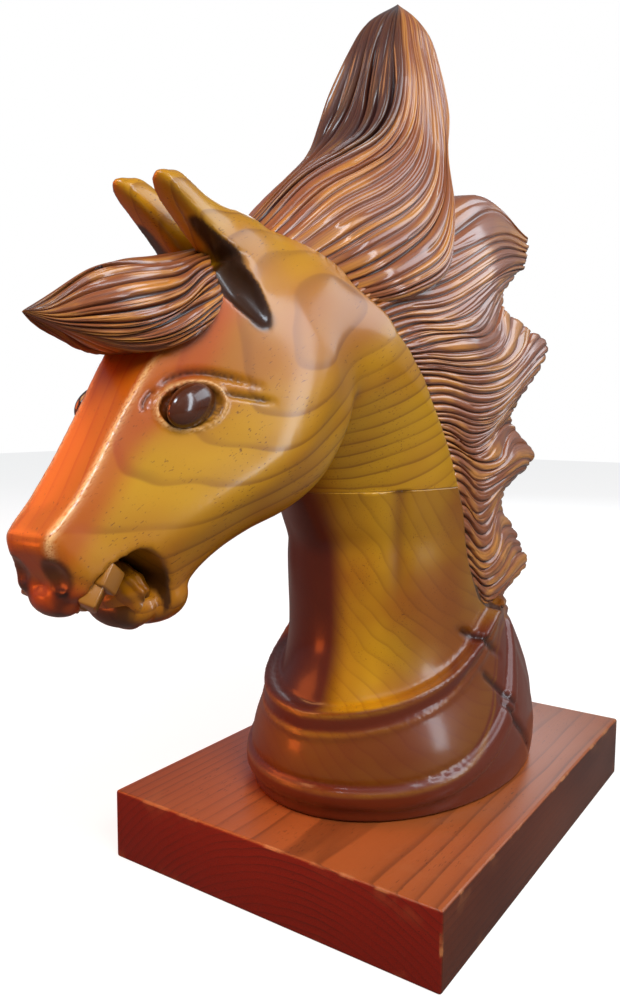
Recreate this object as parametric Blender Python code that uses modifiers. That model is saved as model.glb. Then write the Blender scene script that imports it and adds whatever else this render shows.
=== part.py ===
"""A carved wooden horse head with a flowing mane, standing on a rectangular block.

The horse faces -Y, its left side is +X, and the block's underside lies on Z = 0.
The figure is drawn on a grid of its own, DRAWN_HEIGHT units tall, whose zero is the
middle of the block's top, so its pose and carving are shares of FIGURE_HEIGHT.
"""
import math

import bmesh
import bpy
import numpy as np
from mathutils import Matrix, Vector

# Driving sizes in metres
BASE_WIDTH = 0.200
BASE_LENGTH = 0.277
BASE_THICKNESS = 0.0389
BASE_EDGE = 0.0012
FIGURE_HEIGHT = 0.438
JOINT_GAP = 0.0003

# The figure's own grid
DRAWN_HEIGHT = 438.0
UNIT = FIGURE_HEIGHT / DRAWN_HEIGHT
FOOT_LEVEL = BASE_THICKNESS + JOINT_GAP

# The head leans forward: this is its long axis below the horizontal
HEAD_PITCH = math.radians(55.2)
FACE_ORIGIN = (-219.0, 230.0)

# How finely the carving is cut
ROUND_STEPS = 16
HEAD_RING_STEPS = 13
MERGE_DISTANCE = 1e-6


def through(keys, points, samples):
    """Read samples from the smooth curve that passes through the given points."""
    keys = np.asarray(keys, float)
    points = np.asarray(points, float)
    samples = np.asarray(samples, float)
    slopes = np.gradient(points, keys, axis=0)
    left = np.clip(np.searchsorted(keys, samples, side="right") - 1, 0, len(keys) - 2)
    span = keys[left + 1] - keys[left]
    s = (samples - keys[left]) / span
    shape = s.shape + (1,) * (points.ndim - 1)
    s = s.reshape(shape)
    span = span.reshape(shape)
    return ((2 * s**3 - 3 * s**2 + 1) * points[left] + (s**3 - 2 * s**2 + s) * span * slopes[left]
            + (3 * s**2 - 2 * s**3) * points[left + 1] + (s**3 - s**2) * span * slopes[left + 1])


def on_head(x, along, below):
    """A point from the head's own directions: down the face, and in from the face."""
    c = math.cos(HEAD_PITCH)
    s = math.sin(HEAD_PITCH)
    return (x, FACE_ORIGIN[0] - c * along + s * below, FACE_ORIGIN[1] - s * along - c * below)


def placed(points):
    """Turn grid units into metres, standing on the block."""
    points = np.asarray(points, float) * UNIT
    points[..., 2] += FOOT_LEVEL
    return points


def collection(name):
    group = bpy.data.collections.new(name)
    bpy.context.scene.collection.children.link(group)
    return group


def new_object(name, mesh, group):
    item = bpy.data.objects.new(name, mesh)
    group.objects.link(item)
    return item


def half_solid(name, grid, group):
    """Skin a grid of points whose border lies on X = 0, and mirror it into a closed solid."""
    grid = placed(grid)
    rows, columns = grid.shape[:2]
    grid[..., 0] = np.maximum(grid[..., 0], 0.0)
    mesh_data = bmesh.new()
    verts = [[mesh_data.verts.new(point) for point in row] for row in grid]
    for i in range(rows - 1):
        for j in range(columns - 1):
            mesh_data.faces.new((verts[i][j], verts[i + 1][j], verts[i + 1][j + 1], verts[i][j + 1]))
    bmesh.ops.remove_doubles(mesh_data, verts=mesh_data.verts, dist=MERGE_DISTANCE)
    bmesh.ops.triangulate(mesh_data, faces=mesh_data.faces)
    on_plane = [face for face in mesh_data.faces if all(vert.co.x < MERGE_DISTANCE for vert in face.verts)]
    bmesh.ops.delete(mesh_data, geom=on_plane, context="FACES")
    volume = sum(face.verts[0].co.dot(face.verts[1].co.cross(face.verts[2].co)) for face in mesh_data.faces)
    if volume < 0:
        bmesh.ops.reverse_faces(mesh_data, faces=mesh_data.faces)
    mesh = bpy.data.meshes.new(name)
    mesh_data.to_mesh(mesh)
    mesh_data.free()
    item = new_object(name, mesh, group)
    mirror = item.modifiers.new("other side", "MIRROR")
    mirror.use_axis[0] = True
    mirror.use_clip = True
    mirror.merge_threshold = MERGE_DISTANCE
    return item


# The neck, and the wrap round its foot

# height, front, back and half width of the level sections
STEM = ((0, -102, 109, 76), (10, -103, 112, 77), (20, -103, 115, 76.5), (32, -101, 117, 74), (45, -97, 117, 69.5),
        (57, -92, 114, 64.5), (70, -85.5, 106, 60.5), (82, -81.5, 93, 58), (95, -80, 75, 56),
        (112, -80.5, 64, 55), (133, -82.5, 59, 54))

# middle (back, up), lean in degrees, half depth, half width, pinch of the throat
CREST = ((-12, 140, 3, 70.5, 54, 0.04), (-23, 160, 11, 67, 53, 0.1), (-40, 188, 27, 64, 51.5, 0.16),
         (-62, 213, 45, 62, 51, 0.18), (-86, 229, 58, 58, 50.5, 0.15), (-110, 239, 68, 50, 49.5, 0.08),
         (-130, 244, 75, 40, 46, 0.04), (-148, 247, 80, 25, 36, 0))
CREST_END = 8

# Shallow folds hang down the wrap's back: how deep they are, how many, and from which turn on
FOLD_DEPTH = 2.2
FOLD_BEAT = 14
FOLD_START = 1.9
FOLD_FULL_HEIGHT = 20
NECK_SHARES = (0.12, 0.4, 0.72, 1.0)

# turn from the front in degrees, then the heights of the wrap's lines there
WRAP_LINES = ((0, 8, 19, 43, 55), (20, 8, 19, 45.5, 57.5), (45, 8, 20.5, 52, 64), (60, 12, 25, 59, 71),
              (75, 22, 36, 71, 82), (88, 36, 50, 82, 91), (100, 54, 68, 90, 96), (112, 74, 83, 92, 98),
              (130, 82, 87, 93, 99), (180, 84, 88, 93, 99))


def stem_point(turn, height, proud):
    front, back, half_width = through([row[0] for row in STEM], [row[1:] for row in STEM], [height])[0]
    middle = (front + back) / 2
    depth = (back - front) / 2
    return ((half_width + proud) * math.sin(turn), middle - (depth + proud) * math.cos(turn), height)


def wrap_levels(turn):
    """Heights and swell of the wrap's bands, from the foot up to its rolled rim."""
    low, high, upper, rim = through([row[0] for row in WRAP_LINES], [row[1:] for row in WRAP_LINES],
                                    [math.degrees(turn)])[0]
    return ((0, 1), (low, 1.4), (low + 1.5, 3.4), (high - 1.5, 3.4), (high, 0.6), (high + 2, 2.2),
            (0.5 * high + 0.5 * upper, 2.4), (upper - 1.5, 3.4), (upper, 2), (upper + 1.5, 6),
            (rim - 2.5, 8.4), (rim, 7.4), (rim + 1.5, 0))


def neck(group):
    turns = np.linspace(0, math.pi, ROUND_STEPS + 1)
    columns = []
    for turn in turns:
        column = [(0, 0, 0)]
        levels = wrap_levels(turn)
        behind = max(0.0, turn - FOLD_START) / (math.pi - FOLD_START)
        for height, proud in levels:
            fold = FOLD_DEPTH * math.sin(behind * math.pi) * math.sin(turn * FOLD_BEAT)
            column.append(stem_point(turn, height, proud + fold * min(1.0, height / FOLD_FULL_HEIGHT)))
        rim = levels[-1][0]
        for share in NECK_SHARES:
            column.append(stem_point(turn, rim + (STEM[-1][0] - rim) * share, 0))
        for back, up, lean, depth, half_width, pinch in CREST:
            lean = math.radians(lean)
            reach = -depth * math.cos(turn)
            side = half_width * math.sin(turn) * (1 - pinch * max(0.0, math.cos(turn)))
            column.append((side, back + reach * math.cos(lean), up + reach * math.sin(lean)))
        column.append((0, CREST[-1][0] - CREST_END, CREST[-1][1]))
        columns.append(column)
    return half_solid("neck", columns, group)


# The head

# along the face, face level, jaw level, bridge half width, cheek half width, cheek level, jaw half width
HEAD = ((-104, 40, 66, 10, 22, 53, 15), (-92, 26.5, 72, 14, 34, 52, 24), (-78, 19, 80, 18, 41, 51, 31),
        (-60, 11.5, 89, 20, 46, 52, 38), (-40, 6.5, 95, 20, 48.5, 54, 42), (-18, 3, 96, 18, 48.5, 55, 42),
        (2, 0.5, 93, 15.5, 46.5, 54, 39), (18, 0, 86, 14, 42, 49, 34), (34, 0, 74, 13.5, 36.5, 41, 29),
        (48, 0, 65.5, 13.5, 32, 35, 25.5), (60, -0.6, 61, 13.5, 28, 30, 23), (72, -1.8, 60, 13, 24.5, 26, 21),
        (82, -3, 58, 12.5, 22, 22, 18), (90, -3.5, 50, 11.5, 19, 17, 13), (95, -1.5, 42, 9, 15, 14, 8))
MUZZLE_START = 66
MUZZLE_SLANT = 0.44
MUZZLE_FOOT = 24
MUZZLE_STATIONS = (72, 78, 84, 89, 93, 95)
SKULL_STATIONS = 16
SKULL_END = 40
MUZZLE_END = 14


def head(group):
    """Rings from the poll to the lips. Each runs from the face's middle round the cheek to the jaw's."""
    rows = [[on_head(0, HEAD[0][0], SKULL_END)] * (HEAD_RING_STEPS + 1)]
    steps = np.linspace(0, 8, HEAD_RING_STEPS + 1)
    stations = np.concatenate([np.linspace(HEAD[0][0], MUZZLE_START, SKULL_STATIONS), MUZZLE_STATIONS])
    for along, values in zip(stations, through([row[0] for row in HEAD], [row[1:] for row in HEAD], stations)):
        face, jaw, bridge, cheek, level, jaw_width = values
        profile = ((0, face - 0.4), (0.8 * bridge, face), (1.06 * bridge, face + 1.8),
                   (0.5 * (bridge + cheek), face + 0.45 * (level - face)), (cheek, level),
                   (0.98 * cheek, level + 0.45 * (jaw - level)), (jaw_width, level + 0.88 * (jaw - level)),
                   (0.55 * jaw_width, jaw), (0, jaw))
        ring = through(range(9), profile, steps)
        share = max(0.0, (along - MUZZLE_START) / (HEAD[-1][0] - MUZZLE_START))
        rows.append([on_head(x, along - slant_back(below) * share, below) for x, below in ring])
    rows.append([on_head(0, HEAD[-1][0] - slant_back(MUZZLE_END), MUZZLE_END)] * (HEAD_RING_STEPS + 1))
    return half_solid("head", rows, group)


def slant_back(below):
    """How far the muzzle's end lies back from the lip's level at a depth in from the face."""
    return MUZZLE_SLANT * max(0.0, MUZZLE_FOOT - below)


# The mane

# root, middle and tip of the guide strands from the top of the mane to its foot
MANE_GUIDES = (
    ((33, -122, 263), (37, 8, 333), (44, 80, 322)), ((37, -108, 261), (48, -12, 302), (47, 76, 312)),
    ((42, -98, 255), (52, -12, 284), (48, 68, 302)), ((44, -92, 247), (53, -17, 268), (47, 50, 290)),
    ((46, -82, 240), (54, -18, 250), (46, 42, 274)), ((47, -76, 234), (55, 0, 240), (50, 72, 263)),
    ((48, -68, 227), (56, 12, 230), (54, 98, 254)), ((49, -58, 214), (56, 12, 216), (52, 85, 235)),
    ((50, -50, 205), (55, 5, 203), (48, 66, 217)), ((50, -43, 196), (54, 4, 192), (48, 56, 203)),
    ((51, -37, 187), (56, 20, 179), (54, 80, 183)), ((51, -30, 173), (55, 10, 164), (49, 54, 167)),
    ((51, -22, 153), (54, 10, 145), (47, 42, 152)), ((51, -18, 133), (55, 22, 125), (50, 68, 131)),
    ((50, -12, 118), (54, 26, 109), (52, 76, 112)), ((48, -3, 104), (51, 22, 96), (49, 54, 101)),
    ((44, 10, 96), (46, 26, 91), (45, 42, 94)))
MANE_LOCKS = 17
ROWS_PER_LOCK = 4
MANE_STATIONS = np.array((0.0, 0.1, 0.3, 0.5, 0.7, 0.88, 1.0))

# How far a lock stands out to the side, over the neck at its root and past its neighbours at its tip
LOCK_RELIEF = 3.2
LOCK_ROOT = 3.0
LOCK_TIP = 4.5

# How far the sheet of hair goes into the neck: to its middle, and just under its skin
ROOT_INSIDE = 14
ROOT_BURIED = (8, -2, 0)

# Share of the tip's width and depth behind the tip where the hair rounds over the back
MANE_BACK = ((0.86, 5), (0.5, 10), (0, 8))
CROWN_CLOSING = ((0, 3), (0.55, 2))
FOOT_CLOSING = ((0.6, -2), (0, -3))


def lock_profile(place):
    """Height across a row of locks: round backs with sharp valleys between them."""
    return np.abs(np.sin(math.pi * place)) ** 0.7


def mane(group):
    """Locks swept from the root line to their tips, then rounded over the back."""
    guides = np.asarray(MANE_GUIDES, float)
    last = len(guides) - 1
    rows = []
    places = np.linspace(0, last, MANE_LOCKS * ROWS_PER_LOCK + 1)
    sampled = through(range(last + 1), guides, places)
    for place, (root, middle, tip) in zip(places, sampled):
        height = lock_profile(place / last * MANE_LOCKS)
        tip = tip + (0, LOCK_TIP * height, 0)
        root = root - (0, LOCK_ROOT * height, 0)
        strand = through((0, 0.5, 1), (root, middle, tip), MANE_STATIONS)
        strand[:, 0] += LOCK_RELIEF * height * np.minimum(1, 0.35 + MANE_STATIONS * 4)
        inside = (0, root[1] + ROOT_INSIDE, root[2])
        back = [(tip[0] * share, tip[1] + depth, tip[2]) for share, depth in MANE_BACK]
        rows.append([inside, root - ROOT_BURIED, *strand, *back])
    crown = np.asarray(rows[0])
    foot = np.asarray(rows[-1])
    top_rows = [crown * (share, 1, 1) + (0, 0, lift) for share, lift in CROWN_CLOSING]
    end_rows = [foot * (share, 1, 1) + (0, 0, lift) for share, lift in FOOT_CLOSING]
    return half_solid("mane", [*top_rows, *rows, *end_rows], group)


# The strands of the spire: the front's middle, its near ridge, two on the side, the rear edge, the back's middle
SPIRE_GUIDES = (
    ((0, -150, 295), (0, -112, 319), (0, -84, 339), (0, -66, 353), (0, -54, 368), (0, -46, 387), (0, -38, 408),
     (0, -27, 425)),
    ((5, -150, 294), (5, -111, 319), (11, -83, 338), (17, -66, 351), (20.5, -55, 366), (20, -46, 384), (15, -36, 406),
     (9, -26, 424)),
    ((22, -142, 288), (26, -112, 303), (29, -80, 321), (30, -55, 340), (28, -38, 360), (24, -28, 384),
     (16, -20, 409), (10, -14, 427)),
    ((31, -124, 273), (41, -96, 281), (43, -62, 300), (39, -34, 324), (32, -16, 350), (25, -8, 380),
     (16, -1, 409), (10, -1, 427)),
    ((36, -110, 262), (46, -78, 266), (48, -40, 284), (40, -20, 318), (30, -10, 350), (25, 3, 376),
     (17, 8, 403), (9, 7, 425)),
    ((0, -90, 262), (0, -50, 266), (0, -6, 284), (0, -4, 318), (0, 4, 350), (0, 11, 376), (0, 15, 403),
     (0, 11, 425)))
SPIRE_PEAK = (0, -10, 438)
SPIRE_STEPS = 11
SPIRE_FRONT_ROWS = 10
SPIRE_SIDE_ROWS = 16
SPIRE_BACK_ROWS = (4.5, 5)
SPIRE_FRONT_LOCKS = 3.0
SPIRE_SIDE_LOCKS = 3.0
SPIRE_RELIEF = 2.2
SPIRE_FRONT_LIFT = 1.5
SPIRE_START = (0, 25, -25)


def spire(group):
    """Strands from inside the skull up to the peak. Locks stand out forwards in front, and sideways beside."""
    guides = np.asarray(SPIRE_GUIDES, float)
    guides = np.concatenate([guides, np.tile(SPIRE_PEAK, (len(guides), 1, 1))], axis=1)
    across = np.concatenate([np.linspace(0, 1, SPIRE_FRONT_ROWS), np.linspace(1, 4, SPIRE_SIDE_ROWS)[1:],
                             SPIRE_BACK_ROWS])
    last = len(SPIRE_GUIDES[0])
    along = np.linspace(0, last, SPIRE_STEPS)
    fade = np.sin(np.clip(along / last, 0, 1) * math.pi) ** 0.5
    rows = []
    for place, strand in zip(across, through(range(len(guides)), guides, across)):
        curve = through(range(last + 1), strand, along)
        if place < 1:
            height = lock_profile(place * SPIRE_FRONT_LOCKS)
            curve[:, 1] -= SPIRE_RELIEF * (height - 0.6) * fade
            curve[:, 2] += SPIRE_FRONT_LIFT * (height - 0.6) * fade
        elif place <= 4:
            height = lock_profile((place - 1) * SPIRE_SIDE_LOCKS)
            curve[:, 0] += SPIRE_RELIEF * (height - 0.4) * fade
        rows.append([(0, curve[0][1] + SPIRE_START[1], curve[0][2] + SPIRE_START[2]), *curve])
    return half_solid("spire", rows, group)


# The ears, from the skull to the tip: middle (across, down the face, in from it), back, front, half width
EAR_LEAF = ((14, -61, 24, 34, 3, 13), (12.5, -60, 13, 28, 3, 11.5), (11.5, -59.5, 3, 20, 2.5, 9),
            (11, -59, -9, 15, 2, 7.6), (10.8, -59, -19, 11.5, 2, 6.6), (11, -59, -26, 9, 2, 5.2),
            (11.4, -59.5, -30, 6, 1.5, 3.4), (11.6, -60.5, -31.8, 2.5, 1, 1.6))
EAR_HOLLOW = ((38, -34, 28, 2, 6, 1), (32, -40.5, 22, 4, 8, 4.5), (25, -46, 14, 7, 10, 8.5),
              (17, -51.5, 7, 7, 12, 9), (12.5, -55, -1, 7, 10, 7), (11, -57.5, -10, 6.5, 8, 5.6),
              (10.8, -58.5, -18, 4.5, 7, 4.2), (11, -59.5, -25, 1, 5, 1.8))
EAR_FACING = (0.1, 1.0, 0.0)
EAR_FOOT_FACING = (0.75, 0.35, -0.55)
EAR_SIDES = 10


def ear_form(name, stations, foot_facing, group):
    """A closed leaf: its rings stand across its middle line. It has a twin on the other side."""
    middles = np.array([on_head(*row[:3]) for row in stations])
    runs = np.gradient(middles, axis=0)
    origin = np.array(on_head(0, 0, 0))
    leaf = bmesh.new()
    rings = []
    for k, (middle, run, row) in enumerate(zip(middles, runs, stations)):
        back, front, half_width = row[3:]
        share = k / (len(stations) - 1)
        facing = np.asarray(foot_facing) * (1 - share) + np.asarray(EAR_FACING) * share
        forward = np.array(on_head(*facing)) - origin
        run = run / np.linalg.norm(run)
        forward = forward - run * np.dot(forward, run)
        forward /= np.linalg.norm(forward)
        side = np.cross(run, forward)
        ring = []
        for step in range(EAR_SIDES):
            turn = 2 * math.pi * step / EAR_SIDES
            reach = (front if math.cos(turn) > 0 else back) * math.cos(turn)
            point = middle + forward * reach + side * half_width * math.sin(turn)
            ring.append(leaf.verts.new(placed(point)))
        rings.append(ring)
    for lower, upper in zip(rings, rings[1:]):
        for k in range(EAR_SIDES):
            leaf.faces.new((lower[k], lower[k - 1], upper[k - 1], upper[k]))
    leaf.faces.new(rings[0])
    leaf.faces.new(rings[-1])
    bmesh.ops.recalc_face_normals(leaf, faces=leaf.faces)
    mesh = bpy.data.meshes.new(name)
    leaf.to_mesh(mesh)
    leaf.free()
    item = new_object(name, mesh, group)
    twin = item.modifiers.new("other side", "MIRROR")
    twin.use_axis[0] = True
    twin.use_mirror_merge = False
    return item


# The forelock: strands from the root to the tip, from its middle line round to its underside
FORELOCK_GUIDES = (
    ((0, -170, 280), (0, -203, 271), (0, -220, 267), (0, -235, 261), (0, -252, 251)),
    ((12, -184, 271), (14, -204, 264), (12.5, -224, 257), (10, -241, 249), (5, -255, 243)),
    ((20, -189, 262), (21, -205, 253), (18.5, -223, 246), (13.5, -239, 241), (7, -253, 239.5)),
    ((26, -193, 252), (25, -205, 244), (20, -220, 238), (13, -235, 236), (6, -249, 238)),
    ((24, -203, 241), (22, -210, 237), (17, -220, 233.5), (10, -233, 234), (4, -247, 238)),
    ((0, -206, 240), (0, -213, 236), (0, -220, 232.5), (0, -232, 234.5), (0, -247, 238.5)))
FORELOCK_TIP = (0, -266, 243)
FORELOCK_LOCKS = 5
FORELOCK_STEPS = 9
FORELOCK_UNDER_ROWS = (3.5, 4, 5)
FORELOCK_RELIEF = 2.0
FORELOCK_ROUND = 1.7 / 3
FORELOCK_START = (0, 14, -10)


def forelock(group):
    """Strands from inside the forehead out to the tip. Locks stand out all round but underneath."""
    guides = np.asarray(FORELOCK_GUIDES, float)
    guides = np.concatenate([guides, np.tile(FORELOCK_TIP, (len(guides), 1, 1))], axis=1)
    across = np.concatenate([np.linspace(0, 3, FORELOCK_LOCKS * 3 + 1), FORELOCK_UNDER_ROWS])
    last = len(FORELOCK_GUIDES[0])
    along = np.linspace(0, last, FORELOCK_STEPS)
    fade = np.sin(np.clip(0.12 + 0.88 * along / last, 0, 1) * math.pi) ** 0.6
    rows = []
    for place, strand in zip(across, through(range(len(guides)), guides, across)):
        curve = through(range(last + 1), strand, along)
        if 0 < place <= 3:
            height = lock_profile(place / 3 * FORELOCK_LOCKS)
            outward = np.array((math.sin(place * FORELOCK_ROUND), -0.5, math.cos(place * FORELOCK_ROUND)))
            curve += FORELOCK_RELIEF * (height - 0.4) * fade[:, None] * outward
        rows.append([(0, curve[0][1] + FORELOCK_START[1], curve[0][2] + FORELOCK_START[2]), *curve])
    return half_solid("forelock", rows, group)


def ball(name, centre, radii, group, turn=0.0, twin=False, segments=14, rings=9):
    """An egg set on the head: radii run across, down the face and in from the face."""
    pitch = HEAD_PITCH + math.radians(turn)
    across = Vector((1, 0, 0))
    down = Vector((0, -math.cos(pitch), -math.sin(pitch)))
    inward = across.cross(down)
    frame = Matrix((across * radii[0], down * radii[1], inward * radii[2])).transposed() * UNIT
    egg = bmesh.new()
    bmesh.ops.create_uvsphere(egg, u_segments=segments, v_segments=rings, radius=1,
                              matrix=Matrix.Translation(placed(on_head(*centre))) @ frame.to_4x4())
    bmesh.ops.recalc_face_normals(egg, faces=egg.faces)
    mesh = bpy.data.meshes.new(name)
    egg.to_mesh(mesh)
    egg.free()
    item = new_object(name, mesh, group)
    if twin:
        other = item.modifiers.new("other side", "MIRROR")
        other.use_axis[0] = True
        other.use_mirror_merge = False
    return item


# The open mouth: its outline down the face and in from it, cut right across
MOUTH = ((76, 19.5), (67.5, 25.5), (66.5, 31), (69, 39), (73.5, 46), (83, 53.5), (104, 60), (112, 40), (112, 15),
         (94, 14.5))
MOUTH_REACH = 40


def mouth_cutter(group):
    hollow = bmesh.new()
    left = [hollow.verts.new(placed(on_head(-MOUTH_REACH, *point))) for point in MOUTH]
    right = [hollow.verts.new(placed(on_head(MOUTH_REACH, *point))) for point in MOUTH]
    hollow.faces.new(left)
    hollow.faces.new(right)
    for k in range(len(MOUTH)):
        hollow.faces.new((left[k - 1], left[k], right[k], right[k - 1]))
    bmesh.ops.recalc_face_normals(hollow, faces=hollow.faces)
    mesh = bpy.data.meshes.new("mouth")
    hollow.to_mesh(mesh)
    hollow.free()
    return new_object("mouth", mesh, group)


# Front teeth behind the lip and two at the side: middle (across, down the face, in from it), size, lean
TEETH = (((4, 91, 25), (7.5, 5, 8), 0), ((10.5, 89.5, 23), (6.5, 5, 9), 18), ((15.2, 87.5, 20.5), (8.5, 6, 13), 33),
         ((19.2, 80.8, 21.5), (10, 6, 13), 65))


def teeth(group):
    row = bmesh.new()
    for side in (1, -1):
        for (across, along, below), size, lean in TEETH:
            frame = Matrix.Rotation(math.radians(90) - HEAD_PITCH, 4, "X").inverted()
            turned = frame @ Matrix.Rotation(-side * math.radians(lean), 4, "Z")
            spot = Matrix.Translation(placed(on_head(side * across, along, below)))
            shape = Matrix.Diagonal((*(length * UNIT for length in size), 1))
            bmesh.ops.create_cube(row, size=1, matrix=spot @ turned @ shape)
    mesh = bpy.data.meshes.new("teeth")
    row.to_mesh(mesh)
    row.free()
    return new_object("teeth", mesh, group)


def block(group):
    bpy.ops.mesh.primitive_cube_add(size=1, location=(0, 0, BASE_THICKNESS / 2))
    item = bpy.context.object
    item.name = "base"
    item.scale = (BASE_WIDTH, BASE_LENGTH, BASE_THICKNESS)
    bpy.ops.object.transform_apply(location=False, rotation=False, scale=True)
    edge = item.modifiers.new("worn edges", "BEVEL")
    edge.width = BASE_EDGE
    edge.segments = 1
    for owner in list(item.users_collection):
        owner.objects.unlink(item)
    group.objects.link(item)
    return item


def varnished_wood(name, colour, roughness):
    material = bpy.data.materials.new(name)
    material.use_nodes = True
    shader = material.node_tree.nodes["Principled BSDF"]
    shader.inputs["Base Color"].default_value = (*colour, 1)
    shader.inputs["Roughness"].default_value = roughness
    shader.inputs["Metallic"].default_value = 0
    return material


def boolean(body, others, operation):
    for other in others:
        step = body.modifiers.new(operation.lower() + " " + other.name, "BOOLEAN")
        step.operation = operation
        step.solver = "MANIFOLD"
        step.object = other
        other.hide_render = True
        other.display_type = "WIRE"


# Rounded forms on the head: middle and radii across, down the face and in from it, then the turn of the long axis
CHIN = ((0, 72, 54.5), (24.5, 14, 13.5))
UPPER_LIP = ((0, 89, 18), (12.5, 7.5, 9))
LOWER_LIP = ((0, 80.5, 50), (18, 10, 8))
TONGUE = ((0, 79, 44), (19, 12, 7.5))
TONGUE_TURN = 31
EYE = ((25.5, 10, 17), (6, 11.6, 7.6))
EYE_TURN = -33
NOSTRIL = ((10, 88, 4), (7, 6, 6.5))
NOSTRIL_TURN = -24


def build():
    for item in list(bpy.data.objects):
        bpy.data.objects.remove(item)
    parts = collection("carved horse head")
    tools = collection("forms and cutters")
    figure = neck(parts)
    figure.name = "horse_head"
    boolean(figure, [head(tools), ball("chin", *CHIN, tools)], "UNION")
    boolean(figure, [mouth_cutter(tools)], "DIFFERENCE")
    boolean(figure, [ball("upper lip", *UPPER_LIP, tools), ball("lower lip", *LOWER_LIP, tools),
                     ball("tongue", *TONGUE, tools, turn=TONGUE_TURN), teeth(tools),
                     ball("eyes", *EYE, tools, turn=EYE_TURN, twin=True, segments=12, rings=8),
                     mane(tools), spire(tools), forelock(tools), ear_form("ears", EAR_LEAF, EAR_FACING, tools)], "UNION")
    boolean(figure, [ear_form("ear hollows", EAR_HOLLOW, EAR_FOOT_FACING, tools),
                     ball("nostrils", *NOSTRIL, tools, turn=NOSTRIL_TURN, twin=True, segments=10, rings=6)],
            "DIFFERENCE")
    figure.data.materials.append(varnished_wood("carved wood", (0.42, 0.17, 0.05), 0.28))
    base = block(parts)
    base.data.materials.append(varnished_wood("base wood", (0.12, 0.03, 0.015), 0.35))


build()
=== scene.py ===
"""The finish of a carved and varnished wooden horse head on its stained block.

The horse faces -Y and its left side is +X. Points of the carving are given in millimetres
on the figure's own grid, whose zero is the middle of the block's top.
"""
import math

import bpy
import numpy as np
from mathutils import Matrix, Vector


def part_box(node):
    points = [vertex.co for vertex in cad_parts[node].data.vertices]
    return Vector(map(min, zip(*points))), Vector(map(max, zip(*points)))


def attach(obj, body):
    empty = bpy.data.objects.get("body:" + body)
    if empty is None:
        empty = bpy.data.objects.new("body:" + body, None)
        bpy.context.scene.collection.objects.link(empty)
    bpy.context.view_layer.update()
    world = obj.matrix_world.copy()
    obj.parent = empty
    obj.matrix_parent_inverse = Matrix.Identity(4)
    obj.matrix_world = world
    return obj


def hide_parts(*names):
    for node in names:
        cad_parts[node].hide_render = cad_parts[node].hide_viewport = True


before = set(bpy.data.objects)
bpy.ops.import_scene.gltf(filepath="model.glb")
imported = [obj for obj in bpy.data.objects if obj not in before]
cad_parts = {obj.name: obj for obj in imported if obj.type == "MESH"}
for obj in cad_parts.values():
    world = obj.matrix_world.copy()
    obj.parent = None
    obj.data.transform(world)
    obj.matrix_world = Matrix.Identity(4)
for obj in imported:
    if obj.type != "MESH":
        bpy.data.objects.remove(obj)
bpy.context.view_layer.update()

# The solids that the carving and the block stand for
FIGURE_LOW, FIGURE_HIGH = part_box("horse_head")
BLOCK_LOW, BLOCK_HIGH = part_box("base")
DRAWN_HEIGHT = 438.0
UNIT = (FIGURE_HIGH.z - FIGURE_LOW.z) / DRAWN_HEIGHT
FOOT_LEVEL = FIGURE_LOW.z

# How fine the carved surface is
CARVING_GRAIN = 0.00126
MERGE = 1e-6

# The head's long axis below the horizontal, and where its face starts
HEAD_PITCH = math.radians(55.2)
FACE_ORIGIN = (-219.0, 230.0)


def through(keys, points, samples):
    """Read samples from the smooth curve that passes through the given points."""
    keys = np.asarray(keys, float)
    points = np.asarray(points, float)
    samples = np.asarray(samples, float)
    slopes = np.gradient(points, keys, axis=0)
    left = np.clip(np.searchsorted(keys, samples, side="right") - 1, 0, len(keys) - 2)
    span = keys[left + 1] - keys[left]
    s = (samples - keys[left]) / span
    shape = s.shape + (1,) * (points.ndim - 1)
    s = s.reshape(shape)
    span = span.reshape(shape)
    return ((2 * s**3 - 3 * s**2 + 1) * points[left] + (s**3 - 2 * s**2 + s) * span * slopes[left]
            + (3 * s**2 - 2 * s**3) * points[left + 1] + (s**3 - s**2) * span * slopes[left + 1])


def step_up(value, low, high):
    """0 below low, 1 above high, and a soft ramp between them."""
    share = np.clip((np.asarray(value, float) - low) / (high - low), 0, 1)
    return share * share * (3 - 2 * share)


def near(value, middle, width):
    """1 at the middle value, and a soft fade to 0 on both sides of it."""
    return np.exp(-((value - middle) / width) ** 2)


def on_head(across, along, below):
    """Grid point from the head's own directions: down the face, and in from the face."""
    c = math.cos(HEAD_PITCH)
    s = math.sin(HEAD_PITCH)
    return (across, FACE_ORIGIN[0] - c * along + s * below, FACE_ORIGIN[1] - s * along - c * below)


def head_places(points):
    """How far down the face and in from it grid points lie."""
    c = math.cos(HEAD_PITCH)
    s = math.sin(HEAD_PITCH)
    back = points[:, 1] - FACE_ORIGIN[0]
    up = points[:, 2] - FACE_ORIGIN[1]
    return -c * back - s * up, s * back - c * up


def placed(points):
    """Grid millimetres to metres, standing on the block."""
    points = np.asarray(points, float) * UNIT
    points[..., 2] += FOOT_LEVEL
    return points


def select_only(*items):
    bpy.ops.object.select_all(action="DESELECT")
    for item in items:
        item.select_set(True)
    bpy.context.view_layer.objects.active = items[0]


def apply(piece, kind, **settings):
    """Add a modifier with these settings and make it part of the mesh."""
    modifier = piece.modifiers.new(kind.lower(), kind)
    for setting, value in settings.items():
        setattr(modifier, setting, value)
    select_only(piece)
    bpy.ops.object.modifier_apply(modifier=modifier.name)


def tidy_mesh(piece):
    """Merge what meets, and turn every face outwards."""
    select_only(piece)
    bpy.ops.object.mode_set(mode="EDIT")
    bpy.ops.mesh.select_all(action="SELECT")
    bpy.ops.mesh.remove_doubles(threshold=MERGE)
    bpy.ops.mesh.normals_make_consistent(inside=False)
    bpy.ops.mesh.select_all(action="DESELECT")
    bpy.ops.object.mode_set(mode="OBJECT")


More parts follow.
